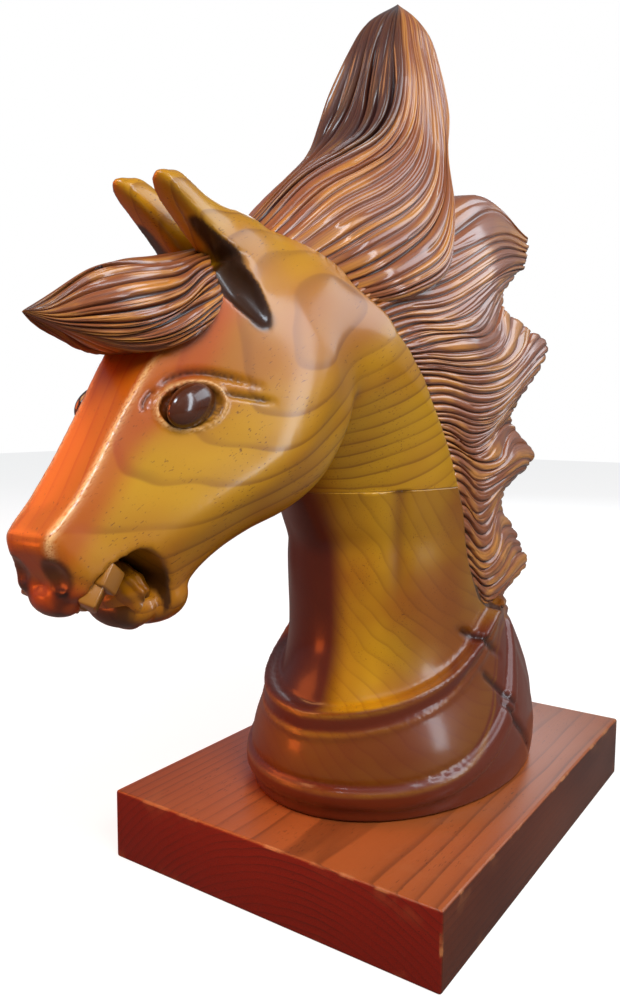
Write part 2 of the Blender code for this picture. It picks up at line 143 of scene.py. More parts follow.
def sheet(name, points, marks=None):
    """A primitive grid laid over an array of grid points, with named marks kept on its points."""
    rows, columns = points.shape[:2]
    bpy.ops.object.select_all(action="DESELECT")
    bpy.ops.mesh.primitive_grid_add(x_subdivisions=columns - 1, y_subdivisions=rows - 1, size=1)
    piece = bpy.context.object
    piece.name = name
    piece.data.name = name
    piece.data.vertices.foreach_set("co", placed(points).reshape(-1))
    for mark, values in (marks or {}).items():
        layer = piece.data.attributes.new(mark, "FLOAT", "POINT")
        layer.data.foreach_set("value", np.asarray(values, np.float32).reshape(-1))
    piece.data.update()
    return piece


def half_form(name, points, marks=None):
    """A closed form from its +X half: the sheet's border lies on X = 0."""
    points = points.copy()
    points[..., 0] = np.maximum(points[..., 0], 0)
    piece = sheet(name, points, marks)
    tidy_mesh(piece)
    places = np.empty(len(piece.data.vertices) * 3)
    piece.data.vertices.foreach_get("co", places)
    off_plane = places[::3] > MERGE
    for face in piece.data.polygons:
        face.select = not off_plane[list(face.vertices)].any()
    bpy.ops.object.mode_set(mode="EDIT")
    bpy.ops.mesh.select_mode(type="FACE")
    bpy.ops.mesh.delete(type="FACE")
    bpy.ops.object.mode_set(mode="OBJECT")
    apply(piece, "MIRROR", use_clip=True, merge_threshold=MERGE)
    tidy_mesh(piece)
    return piece


def ringed_form(name, rings, twin=False):
    """A closed form from rings along a line, with its ends drawn together."""
    rings = np.asarray(rings, float)
    seam = np.concatenate([rings, rings[:, :1]], axis=1)
    ends = [np.repeat(ring.mean(0)[None], seam.shape[1], 0)[None] for ring in (rings[0], rings[-1])]
    piece = sheet(name, np.concatenate([ends[0], seam, ends[1]]))
    tidy_mesh(piece)
    if twin:
        apply(piece, "MIRROR", use_mirror_merge=False)
    return piece


def egg(name, centre, radii, turn=0.0, twin=False, segments=48):
    """A ball stretched to radii across, down the face and in from it, and turned in the head's plane."""
    pitch = HEAD_PITCH + math.radians(turn)
    across = Vector((1, 0, 0))
    down = Vector((0, -math.cos(pitch), -math.sin(pitch)))
    axes = Matrix((across * radii[0], down * radii[1], across.cross(down) * radii[2])).transposed() * UNIT
    bpy.ops.object.select_all(action="DESELECT")
    bpy.ops.mesh.primitive_uv_sphere_add(segments=segments, ring_count=segments // 2, radius=1)
    piece = bpy.context.object
    piece.name = name
    piece.data.transform(Matrix.Translation(placed(on_head(*centre))) @ axes.to_4x4())
    tidy_mesh(piece)
    if twin:
        apply(piece, "MIRROR", use_mirror_merge=False)
    return piece


def cut(body, *tools):
    """Take each tool's form out of the body."""
    for tool in tools:
        apply(body, "BOOLEAN", operation="DIFFERENCE", solver="MANIFOLD", object=tool)
    for tool in tools:
        bpy.data.objects.remove(tool)


def join(body, *others):
    select_only(body, *others)
    bpy.ops.object.join()


def smooth_faces(piece, angle=None):
    select_only(piece)
    if angle is None:
        bpy.ops.object.shade_smooth()
    else:
        bpy.ops.object.shade_smooth_by_angle(angle=math.radians(angle))


def mesh_points(piece):
    """The piece's points back on the figure's grid, and its outward directions."""
    count = len(piece.data.vertices)
    points = np.empty(count * 3)
    normals = np.empty(count * 3)
    piece.data.vertices.foreach_get("co", points)
    piece.data.vertex_normals.foreach_get("vector", normals)
    points = points.reshape(-1, 3)
    points[:, 2] -= FOOT_LEVEL
    return points / UNIT, normals.reshape(-1, 3)


def set_points(piece, points):
    piece.data.vertices.foreach_set("co", placed(points).reshape(-1))
    piece.data.update()


def mark(piece, name, values):
    layer = piece.data.attributes.new(name, "FLOAT", "POINT")
    layer.data.foreach_set("value", np.asarray(values, np.float32).reshape(-1))


# The neck, and the wrap round its foot

# height, front, back and half width of the level sections
STEM = ((0, -102, 109, 76), (10, -103, 112, 77), (20, -103, 115, 76.5), (32, -101, 117, 74), (45, -97, 117, 69.5),
        (57, -92, 114, 64.5), (70, -85.5, 106, 60.5), (82, -81.5, 93, 58), (95, -80, 75, 56),
        (112, -80.5, 64, 55), (133, -82.5, 59, 54))

# middle (back, up), lean in degrees, half depth, half width, pinch of the throat
CREST = ((-12, 140, 3, 70.5, 54, 0.04), (-23, 160, 11, 67, 53, 0.1), (-40, 188, 27, 64, 51.5, 0.16),
         (-62, 213, 45, 62, 51, 0.18), (-86, 229, 58, 58, 50.5, 0.15), (-110, 239, 68, 50, 49.5, 0.08),
         (-130, 244, 75, 40, 46, 0.04), (-148, 247, 80, 25, 36, 0))
CREST_END = 8

# turn from the front in degrees, then the heights of the wrap's lines there
WRAP_LINES = ((0, 8, 19, 43, 55), (20, 8, 19, 45.5, 57.5), (45, 8, 20.5, 52, 64), (60, 12, 25, 59, 71),
              (75, 22, 36, 71, 82), (88, 36, 50, 82, 91), (100, 54, 68, 90, 96), (112, 74, 83, 92, 98),
              (130, 82, 87, 93, 99), (180, 84, 88, 93, 99))
NECK_TURNS = 200
NECK_RISES = 70
WRAP_STEPS = 7
RIM_STEPS = 24

# The back of the wrap hangs in folds: where they start and end round it, how many, how proud, from what height
FOLDS_FROM = 1.9
FOLDS_SPAN = 1.24
FOLDS_BEAT = 14
FOLDS_REACH = 2.2
FOLDS_RISE = 20


def stem_point(turn, height, proud):
    front, back, half_width = through([row[0] for row in STEM], [row[1:] for row in STEM], [height])[0]
    middle = (front + back) / 2
    depth = (back - front) / 2
    return ((half_width + proud) * math.sin(turn), middle - (depth + proud) * math.cos(turn), height)


def wrap_heights(turn):
    """The wrap's four lines at a turn: lower roll's foot and top, upper band's foot and rim."""
    return through([row[0] for row in WRAP_LINES], [row[1:] for row in WRAP_LINES], np.degrees(turn))


def wrap_levels(turn):
    """Heights and swell of the wrap's rolls and bands, from the foot up."""
    low, high, upper, rim = wrap_heights([turn])[0]
    plain = high + 0.5 * (upper - high)
    return ((0, 1), (low - 1.2, 0.6), (low, 2.6), (low + 2.5, 4.2), (high - 3, 4.4), (high - 1.2, 3.6),
            (high, 1.2), (high + 1.2, 0.6), (high + 3, 2.2), (plain, 3.0), (upper - 2.5, 3.4), (upper - 1.2, 4.6),
            (upper, 4.8), (upper + 1.4, 3.2), (upper + 4, 5.0), (rim - 3.2, 7.4), (rim - 1.4, 8.4),
            (rim - 0.3, 8.0), (rim + 0.6, 6.0), (rim + 0.8, 0))


def neck():
    """Level sections up to the wrap's rim and over it, then sections that lean over into the crest."""
    crest = np.array([(-11.75, 133, 0, 70.75, 54, 0), *CREST], float)
    travel = np.concatenate([(0,), np.cumsum(np.hypot(*np.diff(crest[:, :2], axis=0).T))])
    crest = through(travel, crest, np.linspace(0, travel[-1], NECK_RISES))
    columns = []
    for turn in np.linspace(0, math.pi, NECK_TURNS):
        levels = np.array(wrap_levels(turn), float)
        steps = np.linspace(0, len(levels) - 1, (len(levels) - 1) * WRAP_STEPS + 1)
        heights = np.interp(steps, range(len(levels)), levels[:, 0])
        prouds = np.interp(steps, range(len(levels)), levels[:, 1])
        back_share = math.sin((turn - FOLDS_FROM) / FOLDS_SPAN * math.pi) if turn > FOLDS_FROM else 0.0
        column = [(0, 0, 0)]
        for height, proud in zip(heights, prouds):
            fold = FOLDS_REACH * max(0.0, back_share) * math.sin(turn * FOLDS_BEAT) * min(1.0, height / FOLDS_RISE)
            column.append(stem_point(turn, height, proud + fold))
        rim = levels[-1][0]
        for share in np.linspace(0, 1, RIM_STEPS)[1:]:
            column.append(stem_point(turn, rim + (STEM[-1][0] - rim) * share, 0))
        for back, up, lean, depth, half_width, pinch in crest[1:]:
            lean = math.radians(lean)
            reach = -depth * math.cos(turn)
            side = half_width * math.sin(turn) * (1 - pinch * max(0.0, math.cos(turn)))
            column.append((side, back + reach * math.cos(lean), up + reach * math.sin(lean)))
        column.append((0, CREST[-1][0] - CREST_END, CREST[-1][1]))
        columns.append(column)
    return half_form("neck", np.array(columns))


# The head

# along the face, face level, jaw level, bridge half width, cheek half width, cheek level, jaw half width
HEAD = ((-104, 40, 66, 10, 22, 53, 15), (-92, 26.5, 72, 14, 34, 52, 24), (-78, 19, 80, 18, 41, 51, 31),
        (-60, 11.5, 89, 20, 46, 52, 38), (-40, 6.5, 95, 20, 48.5, 54, 42), (-18, 3, 96, 18, 48.5, 55, 42),
        (2, 0.5, 93, 15.5, 46.5, 54, 39), (18, 0, 86, 14, 42, 49, 34), (34, 0, 74, 13.5, 36.5, 41, 29),
        (48, 0, 65.5, 13.5, 32, 35, 25.5), (60, -0.6, 61, 13.5, 28, 30, 23), (72, -1.8, 60, 13, 24.5, 26, 21),
        (82, -3, 58, 12.5, 22, 22, 18), (90, -3.5, 50, 11.5, 19, 17, 13), (95, -1.5, 42, 9, 15, 14, 8))
MUZZLE_START = 66
MUZZLE_SLANT = 0.44
MUZZLE_FOOT = 24
HEAD_RING = 90


def slant_back(below):
    """How far the muzzle's end lies back from the lip's level at a depth in from the face."""
    return MUZZLE_SLANT * np.maximum(0.0, MUZZLE_FOOT - np.asarray(below, float))


def head():
    rows = [[on_head(0, HEAD[0][0], 40)] * HEAD_RING]
    steps = np.linspace(0, 8, HEAD_RING)
    stations = np.concatenate([np.linspace(HEAD[0][0], MUZZLE_START, 110), np.linspace(67, 95, 29)])
    for along, values in zip(stations, through([row[0] for row in HEAD], [row[1:] for row in HEAD], stations)):
        face, jaw, bridge, cheek, level, jaw_width = values
        profile = ((0, face - 0.4), (0.8 * bridge, face), (1.06 * bridge, face + 1.8),
                   (0.5 * (bridge + cheek), face + 0.45 * (level - face)), (cheek, level),
                   (0.98 * cheek, level + 0.45 * (jaw - level)), (jaw_width, level + 0.88 * (jaw - level)),
                   (0.55 * jaw_width, jaw), (0, jaw))
        ring = through(range(9), profile, steps)
        share = max(0.0, (along - MUZZLE_START) / (HEAD[-1][0] - MUZZLE_START))
        rows.append([on_head(x, along - slant_back(below) * share, below) for x, below in ring])
    rows.append([on_head(0, HEAD[-1][0] + 0.5 - slant_back(14), 14)] * HEAD_RING)
    return half_form("head", np.array(rows))


# The open mouth: its outline down the face and in from it
MOUTH = ((76, 19.5), (67.5, 25), (65.5, 31), (67.5, 40.5), (72, 48), (82.5, 55.5), (104, 62), (112, 40), (112, 15),
         (94, 14.5))
MOUTH_STEPS = 72
MOUTH_REACH = 40


def mouth_tool():
    outline = through(range(len(MOUTH)), MOUTH, np.linspace(0, len(MOUTH) - 1, MOUTH_STEPS))
    bpy.ops.object.select_all(action="DESELECT")
    bpy.ops.mesh.primitive_circle_add(vertices=MOUTH_STEPS, radius=1, fill_type="NGON")
    tool = bpy.context.object
    rim = [placed(on_head(-MOUTH_REACH, *point)) for point in outline]
    tool.data.vertices.foreach_set("co", np.array(rim).reshape(-1))
    bpy.ops.object.mode_set(mode="EDIT")
    bpy.ops.mesh.select_all(action="SELECT")
    bpy.ops.mesh.extrude_region_move(TRANSFORM_OT_translate={"value": (2 * MOUTH_REACH * UNIT, 0, 0)})
    bpy.ops.object.mode_set(mode="OBJECT")
    tidy_mesh(tool)
    return tool


# The ears, from the skull to the tip: middle (across, down the face, in from it), back, front, half width
EAR_LEAF = ((14, -61, 24, 34, 3, 13), (12.5, -60, 13, 28, 3, 11.5), (11.5, -59.5, 3, 20, 2.5, 9),
            (11, -59, -9, 15, 2, 7.6), (10.8, -59, -19, 12.5, 2, 6.8), (11, -59, -26.5, 10.5, 2, 5.8),
            (11.3, -59.5, -31, 8, 1.8, 4.6), (11.5, -60.5, -33.6, 4.5, 1.4, 2.8), (11.6, -61, -34.6, 1.5, 0.8, 1.2))
EAR_HOLLOW = ((38, -34, 28, 2, 6, 1), (32, -40.5, 22, 4.5, 8, 5), (26, -46, 14, 7.5, 10, 8),
              (20.5, -50.5, 7, 7, 11, 7), (17.5, -53, 0, 5.5, 8, 4.6), (15.5, -55, -7, 3.5, 5.5, 2.8),
              (14.5, -56.5, -13, 1, 3, 1.2))

# Which way the ears and their hollows open at the skull and at the tip, in the head's own directions
EAR_FACING = (0.1, 1.0, 0.0)
HOLLOW_FOOT_FACING = (0.75, 0.35, -0.55)
HOLLOW_TIP_FACING = (0.8, 0.75, 0.0)
EAR_SIDES = 40
EAR_STATIONS = 48


def ear_form(name, stations, foot_facing, tip_facing):
    """A leaf drawn through the stations, which turns from one facing to the other on its way up."""
    stations = through(range(len(stations)), stations, np.linspace(0, len(stations) - 1, EAR_STATIONS))
    middles = np.array([on_head(*row[:3]) for row in stations])
    runs = np.gradient(middles, axis=0)
    origin = np.array(on_head(0, 0, 0))
    turns = np.linspace(0, 2 * math.pi, EAR_SIDES, endpoint=False)[:, None]
    rings = []
    for k, (middle, run, row) in enumerate(zip(middles, runs, stations)):
        back, front, half_width = row[3:]
        share = k / (len(stations) - 1)
        facing = np.asarray(foot_facing) * (1 - share) + np.asarray(tip_facing) * share
        forward = np.array(on_head(*facing)) - origin
        run = run / np.linalg.norm(run)
        forward = forward - run * np.dot(forward, run)
        forward /= np.linalg.norm(forward)
        side = np.cross(run, forward)
        reach = np.where(np.cos(turns) > 0, front, back) * np.cos(turns)
        rings.append(middle + forward * reach + side * half_width * np.sin(turns))
    return ringed_form(name, rings, twin=True)


# Hair: a smooth lie of guide strands, then gouge cuts that run along it

def outward(points):
    """Directions that stand off a sheet, towards +X and away from its inside."""
    down_rows = np.gradient(points, axis=0)
    down_columns = np.gradient(points, axis=1)
    normals = np.cross(down_rows, down_columns)
    lengths = np.linalg.norm(normals, axis=2, keepdims=True)
    normals = normals / np.maximum(lengths, 1e-9)
    return normals if normals[..., 0].sum() > 0 else -normals


def gouge_cuts(across, along, cuts, chance):
    """How deep each point lies in the cuts: each wanders, starts wide and ends fine."""
    depth = np.zeros((len(across), len(along)))
    for place, start, end, width, sink, wander in cuts:
        phase = chance.uniform(0, 2 * math.pi)
        path = place + wander * np.sin(along * chance.uniform(3, 6) + phase)
        inside = np.clip((along - start) / (end - start), 0, 1)
        taper = step_up(inside, 0, 0.02) * (1 - step_up(inside, 0.72, 1.0))
        open_width = width * (0.5 + 0.9 * np.exp(-7 * inside))
        away = np.abs(across[:, None] - path[None]) / open_width[None]
        depth = np.maximum(depth, sink * taper[None] * np.exp(-away**1.5))
    return depth


def drawn(chance, span):
    """A number drawn from a span, or the number itself."""
    return chance.uniform(*span) if isinstance(span, tuple) else span


def cut_lines(chance, places, shift, start, end, width, sink, wander):
    """One gouge line for each place, each with its own start, end and depth drawn from their spans."""
    return [(place + drawn(chance, shift), drawn(chance, start), drawn(chance, end), width, drawn(chance, sink), wander)
            for place in places]


def halves(first, last):
    """Two places to each lock."""
    return [k / 2 for k in range(2 * first, 2 * last)]


def uneven_locks(total, chance):
    """Where one lock ends and the next begins: no two are equally broad."""
    edges = np.arange(total + 1, dtype=float)
    edges[1:-1] += chance.uniform(-0.24, 0.24, total - 1)
    return edges


def lock_backs(shares):
    """Height over one lock: it rises slowly and drops sharply to the next, like shingles."""
    return np.sin(math.pi * np.clip(shares, 0, 1) ** 1.45) ** 0.45


def swaying(surface, across, along, reach, beats, chance):
    """Let the rows of a surface stray from side to side, so the locks on it flow in waves."""
    knots = np.arange(math.ceil(across[-1]) + 1)
    phase = np.interp(across, knots, np.cumsum(chance.uniform(-0.9, 0.9, len(knots))))
    edge = np.minimum(1, np.minimum(across - across[0], across[-1] - across))
    sway = reach * edge[:, None] * np.sin(2 * math.pi * beats * along[None] + phase[:, None])
    sway = sway * step_up(along, 0, 0.25)
    moved = surface.copy()
    for column in range(surface.shape[1]):
        for axis in range(3):
            moved[:, column, axis] = np.interp(across + sway[:, column], across, surface[:, column, axis])
    return moved


MANE_GUIDES = (
    ((33, -122, 263), (37, 8, 333), (44, 80, 322)), ((37, -108, 261), (48, -12, 302), (47, 76, 312)),
    ((42, -98, 255), (52, -12, 284), (48, 68, 302)), ((44, -92, 247), (53, -17, 268), (47, 50, 290)),
    ((46, -82, 240), (54, -18, 250), (46, 42, 274)), ((47, -76, 234), (55, 0, 240), (50, 72, 263)),
    ((48, -68, 227), (56, 12, 230), (54, 98, 254)), ((49, -58, 214), (56, 12, 216), (52, 85, 235)),
    ((50, -50, 205), (55, 5, 203), (48, 66, 217)), ((50, -43, 196), (54, 4, 192), (48, 56, 203)),
    ((51, -37, 187), (56, 20, 179), (54, 80, 183)), ((51, -30, 173), (55, 10, 164), (49, 54, 167)),
    ((51, -22, 153), (54, 10, 145), (47, 42, 152)), ((51, -18, 133), (55, 22, 125), (50, 68, 131)),
    ((50, -12, 118), (54, 26, 109), (52, 76, 112)), ((48, -3, 104), (51, 22, 96), (49, 54, 101)),
    ((44, 10, 96), (46, 26, 91), (45, 42, 94)))
MANE_LOCKS = 44
MANE_ROWS = 560
MANE_RUN = 72
MANE_BACK = 12
MANE_SAG = 2.4
LOCK_SWELL = 1.3
LOCK_CUT = 2.1
LOCK_HEAD = 2.2
MANE_SWAY = 0.8
MANE_BEATS = 1.0

# The gouge lines between, on and across the locks: shift from the lock's edge, start, end, width, depth, wander
MANE_PARTINGS = (0, 0.0, (0.5, 1.4), 0.11, (0.55, 1.0), 0.05)
MANE_LINES = ((0.25, 0.6), (0.02, 0.35), (0.5, 1.3), 0.08, (0.15, 0.55), 0.12)
MANE_HAIRLINES = ((0.1, 0.4), (0.1, 0.6), (0.8, 1.3), 0.05, (0.1, 0.3), 0.12)


def mane():
    """Locks that start on the neck with a rounded head, sag a little and sweep up and back."""
    chance = np.random.default_rng(7)
    guides = np.asarray(MANE_GUIDES, float)
    last = len(guides) - 1
    places = np.linspace(0, last, MANE_ROWS)
    across = places / last * MANE_LOCKS
    edges = uneven_locks(MANE_LOCKS, chance)
    locks = np.interp(across, edges, range(MANE_LOCKS + 1))
    backs = lock_backs(locks % 1.0)
    run = np.linspace(0, 1, MANE_RUN) ** 1.35
    tips = np.interp(across, edges, chance.uniform(-4, 4, MANE_LOCKS + 1))
    sag = MANE_SAG * near(run, 0.27, 0.16)
    turns = np.linspace(0, math.pi / 2, MANE_BACK + 1)[1:]
    rows = []
    for row, (root, middle, tip) in enumerate(through(range(last + 1), guides, places)):
        tip = tip + (0, tips[row] + 3 * backs[row] - 2, 0)
        root = root - (0, LOCK_HEAD * backs[row], 0)
        strand = through((0, 0.5, 1), (root, middle, tip), run)
        strand[:, 2] -= sag
        inside = (0, root[1] + 14, root[2])
        buried = (root[0] - 8, root[1] + 3, root[2])
        round_back = [(tip[0] * math.cos(turn), tip[1] + 8 * math.sin(turn), tip[2]) for turn in turns]
        rows.append([inside, buried, *strand, *round_back])
    along = np.concatenate([(0, 0), run, np.linspace(1, 1.12, MANE_BACK + 1)[1:]])
    points = swaying(np.array(rows), across, along, MANE_SWAY, MANE_BEATS, chance)
    cuts = cut_lines(chance, range(1, MANE_LOCKS), *MANE_PARTINGS)
    cuts += cut_lines(chance, range(MANE_LOCKS), *MANE_LINES)
    cuts += cut_lines(chance, halves(0, MANE_LOCKS), *MANE_HAIRLINES)
    sunk = gouge_cuts(locks, along, cuts, chance)
    raised = LOCK_SWELL * backs[:, None] * step_up(along, 0, 0.03) - LOCK_CUT * sunk * step_up(along, 0, 0.012)
    raised[:, :2] = 0
    raised[:, -1] = np.minimum(raised[:, -1], 0)
    points = points + outward(points) * raised[..., None]
    points[:, -1, 0] = 0
    crown = points[0]
    foot = points[-1]
    top = np.array([crown * (share, 1, 1) + (0, 0, lift) for share, lift in ((0, 3), (0.55, 2))])
    end = np.array([foot * (share, 1, 1) - (0, 0, drop) for share, drop in ((0.6, 2), (0, 3))])
    points = np.concatenate([top, points, end])
    sunk = np.concatenate([sunk[:1], sunk[:1], sunk, sunk[-1:], sunk[-1:]])
    backs = np.concatenate([(0, 0), backs, (0, 0)])
    ridge = np.repeat(backs[:, None], len(along), 1)
    return half_form("mane", points, {"cut": sunk, "ridge": ridge, "front": np.zeros(sunk.shape)})


# The strands of the spire: the front's middle, its near ridge, two on the side, the rear edge, the back's middle
SPIRE_GUIDES = (
    ((0, -150, 295), (0, -112, 319), (0, -84, 339), (0, -66, 353), (0, -54, 368), (0, -46, 387), (0, -38, 408),
     (0, -27, 425)),
    ((5, -150, 294), (5, -111, 319), (11, -83, 338), (17, -66, 351), (20.5, -55, 366), (20, -46, 384), (15, -36, 406),
     (9, -26, 424)),
    ((22, -142, 288), (26, -112, 303), (29, -80, 321), (30, -55, 340), (28, -38, 360), (24, -28, 384),
     (16, -20, 409), (10, -14, 427)),
    ((31, -124, 273), (41, -96, 281), (43, -62, 300), (39, -34, 324), (32, -16, 350), (25, -8, 380),
     (16, -1, 409), (10, -1, 427)),
    ((36, -110, 262), (46, -78, 266), (48, -40, 284), (40, -20, 318), (30, -10, 350), (25, 3, 376),
     (17, 8, 403), (9, 7, 425)),
    ((0, -90, 262), (0, -50, 266), (0, -6, 284), (0, -4, 318), (0, 4, 350), (0, 11, 376), (0, 15, 403),
     (0, 11, 425)))
SPIRE_PEAK = (0, -10, 438)
SPIRE_RUN = 90
SPIRE_FRONT_LOCKS = 3
SPIRE_SIDE_LOCKS = 15
SPIRE_BACK_LOCKS = 5
SPIRE_SWELL = 1.3
SPIRE_CUT = 2.2
SPIRE_ROOT_SHARE = 0.14
SPIRE_SWAY = 0.5
SPIRE_BEATS = 1.3
SPIRE_FRONT_PARTINGS = (0, -0.1, (0.7, 1.1), 0.3, 1.3, 0.08)
SPIRE_PARTINGS = (0, -0.1, (0.7, 1.1), 0.13, (0.5, 1.0), 0.08)
SPIRE_LINES = ((0.3, 0.7), (0.0, 0.3), (0.6, 1.0), 0.1, (0.2, 0.6), 0.15)
SPIRE_HAIRLINES = ((0.1, 0.4), (0, 0.4), (0.7, 1.1), 0.07, (0.15, 0.35), 0.12)


def rooted(points, marks, back, up):
    """Start each strand inside the head, on the middle plane."""
    start = points[:, :1].copy()
    start[..., 0] = 0
    start[..., 1] += back
    start[..., 2] += up
    return np.concatenate([start, points], axis=1), {name: np.concatenate([value[:, :1], value], axis=1)
                                                     for name, value in marks.items()}


def spire():
    """A few broad locks in front, darkened with painted shade, many finer ones on the sides, drawn together at the
    peak.
    """
    chance = np.random.default_rng(11)
    guides = np.asarray(SPIRE_GUIDES, float)
    guides = np.concatenate([guides, np.tile(SPIRE_PEAK, (len(guides), 1, 1))], axis=1)
    guides[:, 0] = guides[:, 0] * (0.84, 1, 1) + (0, 3, -4)
    places = np.concatenate([np.linspace(0, 1, 90), np.linspace(1, 4, 290)[1:], np.linspace(4, 5, 41)[1:]])
    last = guides.shape[1] - 1
    steps = np.linspace(0, last, SPIRE_RUN)
    points = np.array([through(range(last + 1), strand, steps) for strand in through(range(6), guides, places)])
    along = steps / last
    total = SPIRE_FRONT_LOCKS + SPIRE_SIDE_LOCKS + SPIRE_BACK_LOCKS
    across = np.interp(places, (0, 1, 4, 5), (0, SPIRE_FRONT_LOCKS, total - SPIRE_BACK_LOCKS, total))
    points = swaying(points, across, along, SPIRE_SWAY, SPIRE_BEATS, chance)
    locks = np.interp(across, uneven_locks(total, chance), range(total + 1))
    backs = lock_backs(locks % 1.0)
    fade = step_up(along, -0.02, SPIRE_ROOT_SHARE) * (1 - step_up(along, 0.8, 1.0))
    cuts = cut_lines(chance, range(1, SPIRE_FRONT_LOCKS + 1), *SPIRE_FRONT_PARTINGS)
    cuts += cut_lines(chance, range(SPIRE_FRONT_LOCKS + 1, total), *SPIRE_PARTINGS)
    cuts += cut_lines(chance, range(total), *SPIRE_LINES)
    cuts += cut_lines(chance, halves(SPIRE_FRONT_LOCKS, total), *SPIRE_HAIRLINES)
    sunk = gouge_cuts(locks, along, cuts, chance)
    raised = (SPIRE_SWELL * backs[:, None] - SPIRE_CUT * sunk) * fade
    raised[0] = np.minimum(raised[0], 0)
    points = points + outward(points) * raised[..., None]
    points[0, :, 0] = 0
    points[-1, :, 0] = 0
    points[:, -1] = SPIRE_PEAK
    ridge = np.repeat(backs[:, None], SPIRE_RUN, 1)
    # Painted shade on the spire's front facet, the side turned from the light
    front = (1 - step_up(places, 0.95, 1.5))[:, None] * (0.35 + 0.65 * step_up(along, 0.1, 0.4))[None]
    return half_form("spire", *rooted(points, {"cut": sunk, "ridge": ridge, "front": front}, 25, -25))


# The forelock: strands from the root to the tip, from its middle line round to its underside
FORELOCK_GUIDES = (
    ((0, -170, 280), (0, -203, 271), (0, -220, 267), (0, -235, 261), (0, -252, 251)),
    ((12, -184, 271), (14, -204, 264), (12.5, -224, 257), (10, -241, 249), (5, -255, 243)),
    ((20, -189, 262), (21, -205, 253), (18.5, -223, 246), (13.5, -239, 241), (7, -253, 239.5)),
    ((26, -193, 252), (25, -205, 244), (20, -220, 238), (13, -235, 236), (6, -249, 238)),
    ((24, -203, 241), (22, -210, 237), (17, -220, 233.5), (10, -233, 234), (4, -247, 238)),
    ((0, -206, 240), (0, -213, 236), (0, -220, 232.5), (0, -232, 234.5), (0, -247, 238.5)))
FORELOCK_TIP = (0, -266, 243)
FORELOCK_ROWS = 260
FORELOCK_RUN = 76
FORELOCK_LOCKS = 16
FORELOCK_SWELL = 1.3
FORELOCK_CUT = 2.2
FORELOCK_SWAY = 0.9
FORELOCK_BEATS = 0.9
FORELOCK_PARTINGS = (0, -0.1, (0.9, 1.05), 0.2, 1.0, 0.1)
FORELOCK_LINES = ((0.3, 0.7), (0, 0.4), (0.6, 1.0), 0.12, (0.3, 0.7), 0.15)
FORELOCK_HAIRLINES = ((0.1, 0.4), (0, 0.3), (0.6, 1.0), 0.08, (0.2, 0.4), 0.15)


def forelock():
    """Locks combed forwards from between the ears to one tip."""
    chance = np.random.default_rng(5)
    guides = np.asarray(FORELOCK_GUIDES, float)
    guides = np.concatenate([guides, np.tile(FORELOCK_TIP, (len(guides), 1, 1))], axis=1)
    places = np.linspace(0, 5, FORELOCK_ROWS)
    steps = np.linspace(0, 5, FORELOCK_RUN)
    points = np.array([through(range(6), strand, steps) for strand in through(range(6), guides, places)])
    along = steps / 5
    across = places / 5 * FORELOCK_LOCKS
    points = swaying(points, across, along, FORELOCK_SWAY, FORELOCK_BEATS, chance)
    locks = np.interp(across, uneven_locks(FORELOCK_LOCKS, chance), range(FORELOCK_LOCKS + 1))
    backs = lock_backs(locks % 1.0)
    fade = np.sin(np.clip(0.06 + 0.94 * along, 0, 1) * math.pi) ** 0.5
    cuts = cut_lines(chance, range(1, FORELOCK_LOCKS), *FORELOCK_PARTINGS)
    cuts += cut_lines(chance, range(FORELOCK_LOCKS), *FORELOCK_LINES)
    cuts += cut_lines(chance, halves(0, FORELOCK_LOCKS), *FORELOCK_HAIRLINES)
    sunk = gouge_cuts(locks, along, cuts, chance)
    raised = (FORELOCK_SWELL * backs[:, None] - FORELOCK_CUT * sunk) * fade
    points = points + outward(points) * raised[..., None]
    points[0, :, 0] = 0
    points[-1, :, 0] = 0
    points[:, -1] = FORELOCK_TIP
    ridge = np.repeat(backs[:, None], FORELOCK_RUN, 1)
    dark_tip = 0.55 * step_up(along, 0.6, 1.0)
    dark_top = 0.25 * (1 - step_up(places, 0, 1.2))
    dark = dark_tip[None] + dark_top[:, None]
    return half_form("forelock", *rooted(points, {"cut": sunk, "ridge": ridge, "front": dark}, 14, -10))


# The carved body: head, ears and neck run into one another

EYE = (25.5, 10, 17)
EYE_RADII = (6, 11.6, 7.6)
EYE_TURN = -33

# Lines cut with the gouge on the sides, seen from the side (back, up), with width and depth
SIDE_CUTS = (
    (((-222, 217), (-214, 222.5), (-206, 224.5), (-197, 223.5), (-184, 220)), 1.5, 2.0),
    (((-199, 217), (-190, 215.5), (-180, 214)), 1.2, 1.5),
    (((-227, 210), (-225, 214), (-221, 218)), 1.2, 1.4),
    (((-27, 91), (-9, 82), (10, 70)), 2.6, 2.2),
    (((-15, 66), (-2, 54), (14, 39)), 2.6, 2.0),
    (((-4, 48), (13, 29), (35, 6)), 3.0, 2.4))
SEAM_LEVEL = 170.0

# The nostrils and the hollows under them, on the head's own directions, and the neck's groove, by turn from the front
NOSTRIL = (11.5, 93, 4.5)
LOWER_HOLLOW = (11, 97.5, 12)
NECK_GROOVE = 1.3
GROOVE_TURN = 33
RIDGE_TURN = 23
GROOVE_FOOT = (104, 130)

# Where the head ends and the neck begins, the neck's middle, and from how far out a point is on the head's side
NECK_FRONT = -118.0
NECK_MIDDLE = -8.0
ON_SIDE = (12, 16)

# Where the hair leaves the skin, from the crest between the ears down the neck, seen from the side
ROOT_LINE = ((-110, 263), (-98, 255), (-92, 247), (-82, 240), (-76, 234), (-68, 227), (-58, 214), (-50, 205),
             (-43, 196), (-37, 187), (-30, 173), (-22, 153), (-18, 133), (-12, 118), (-3, 104), (10, 96))
ROOT_STEP = 2.4


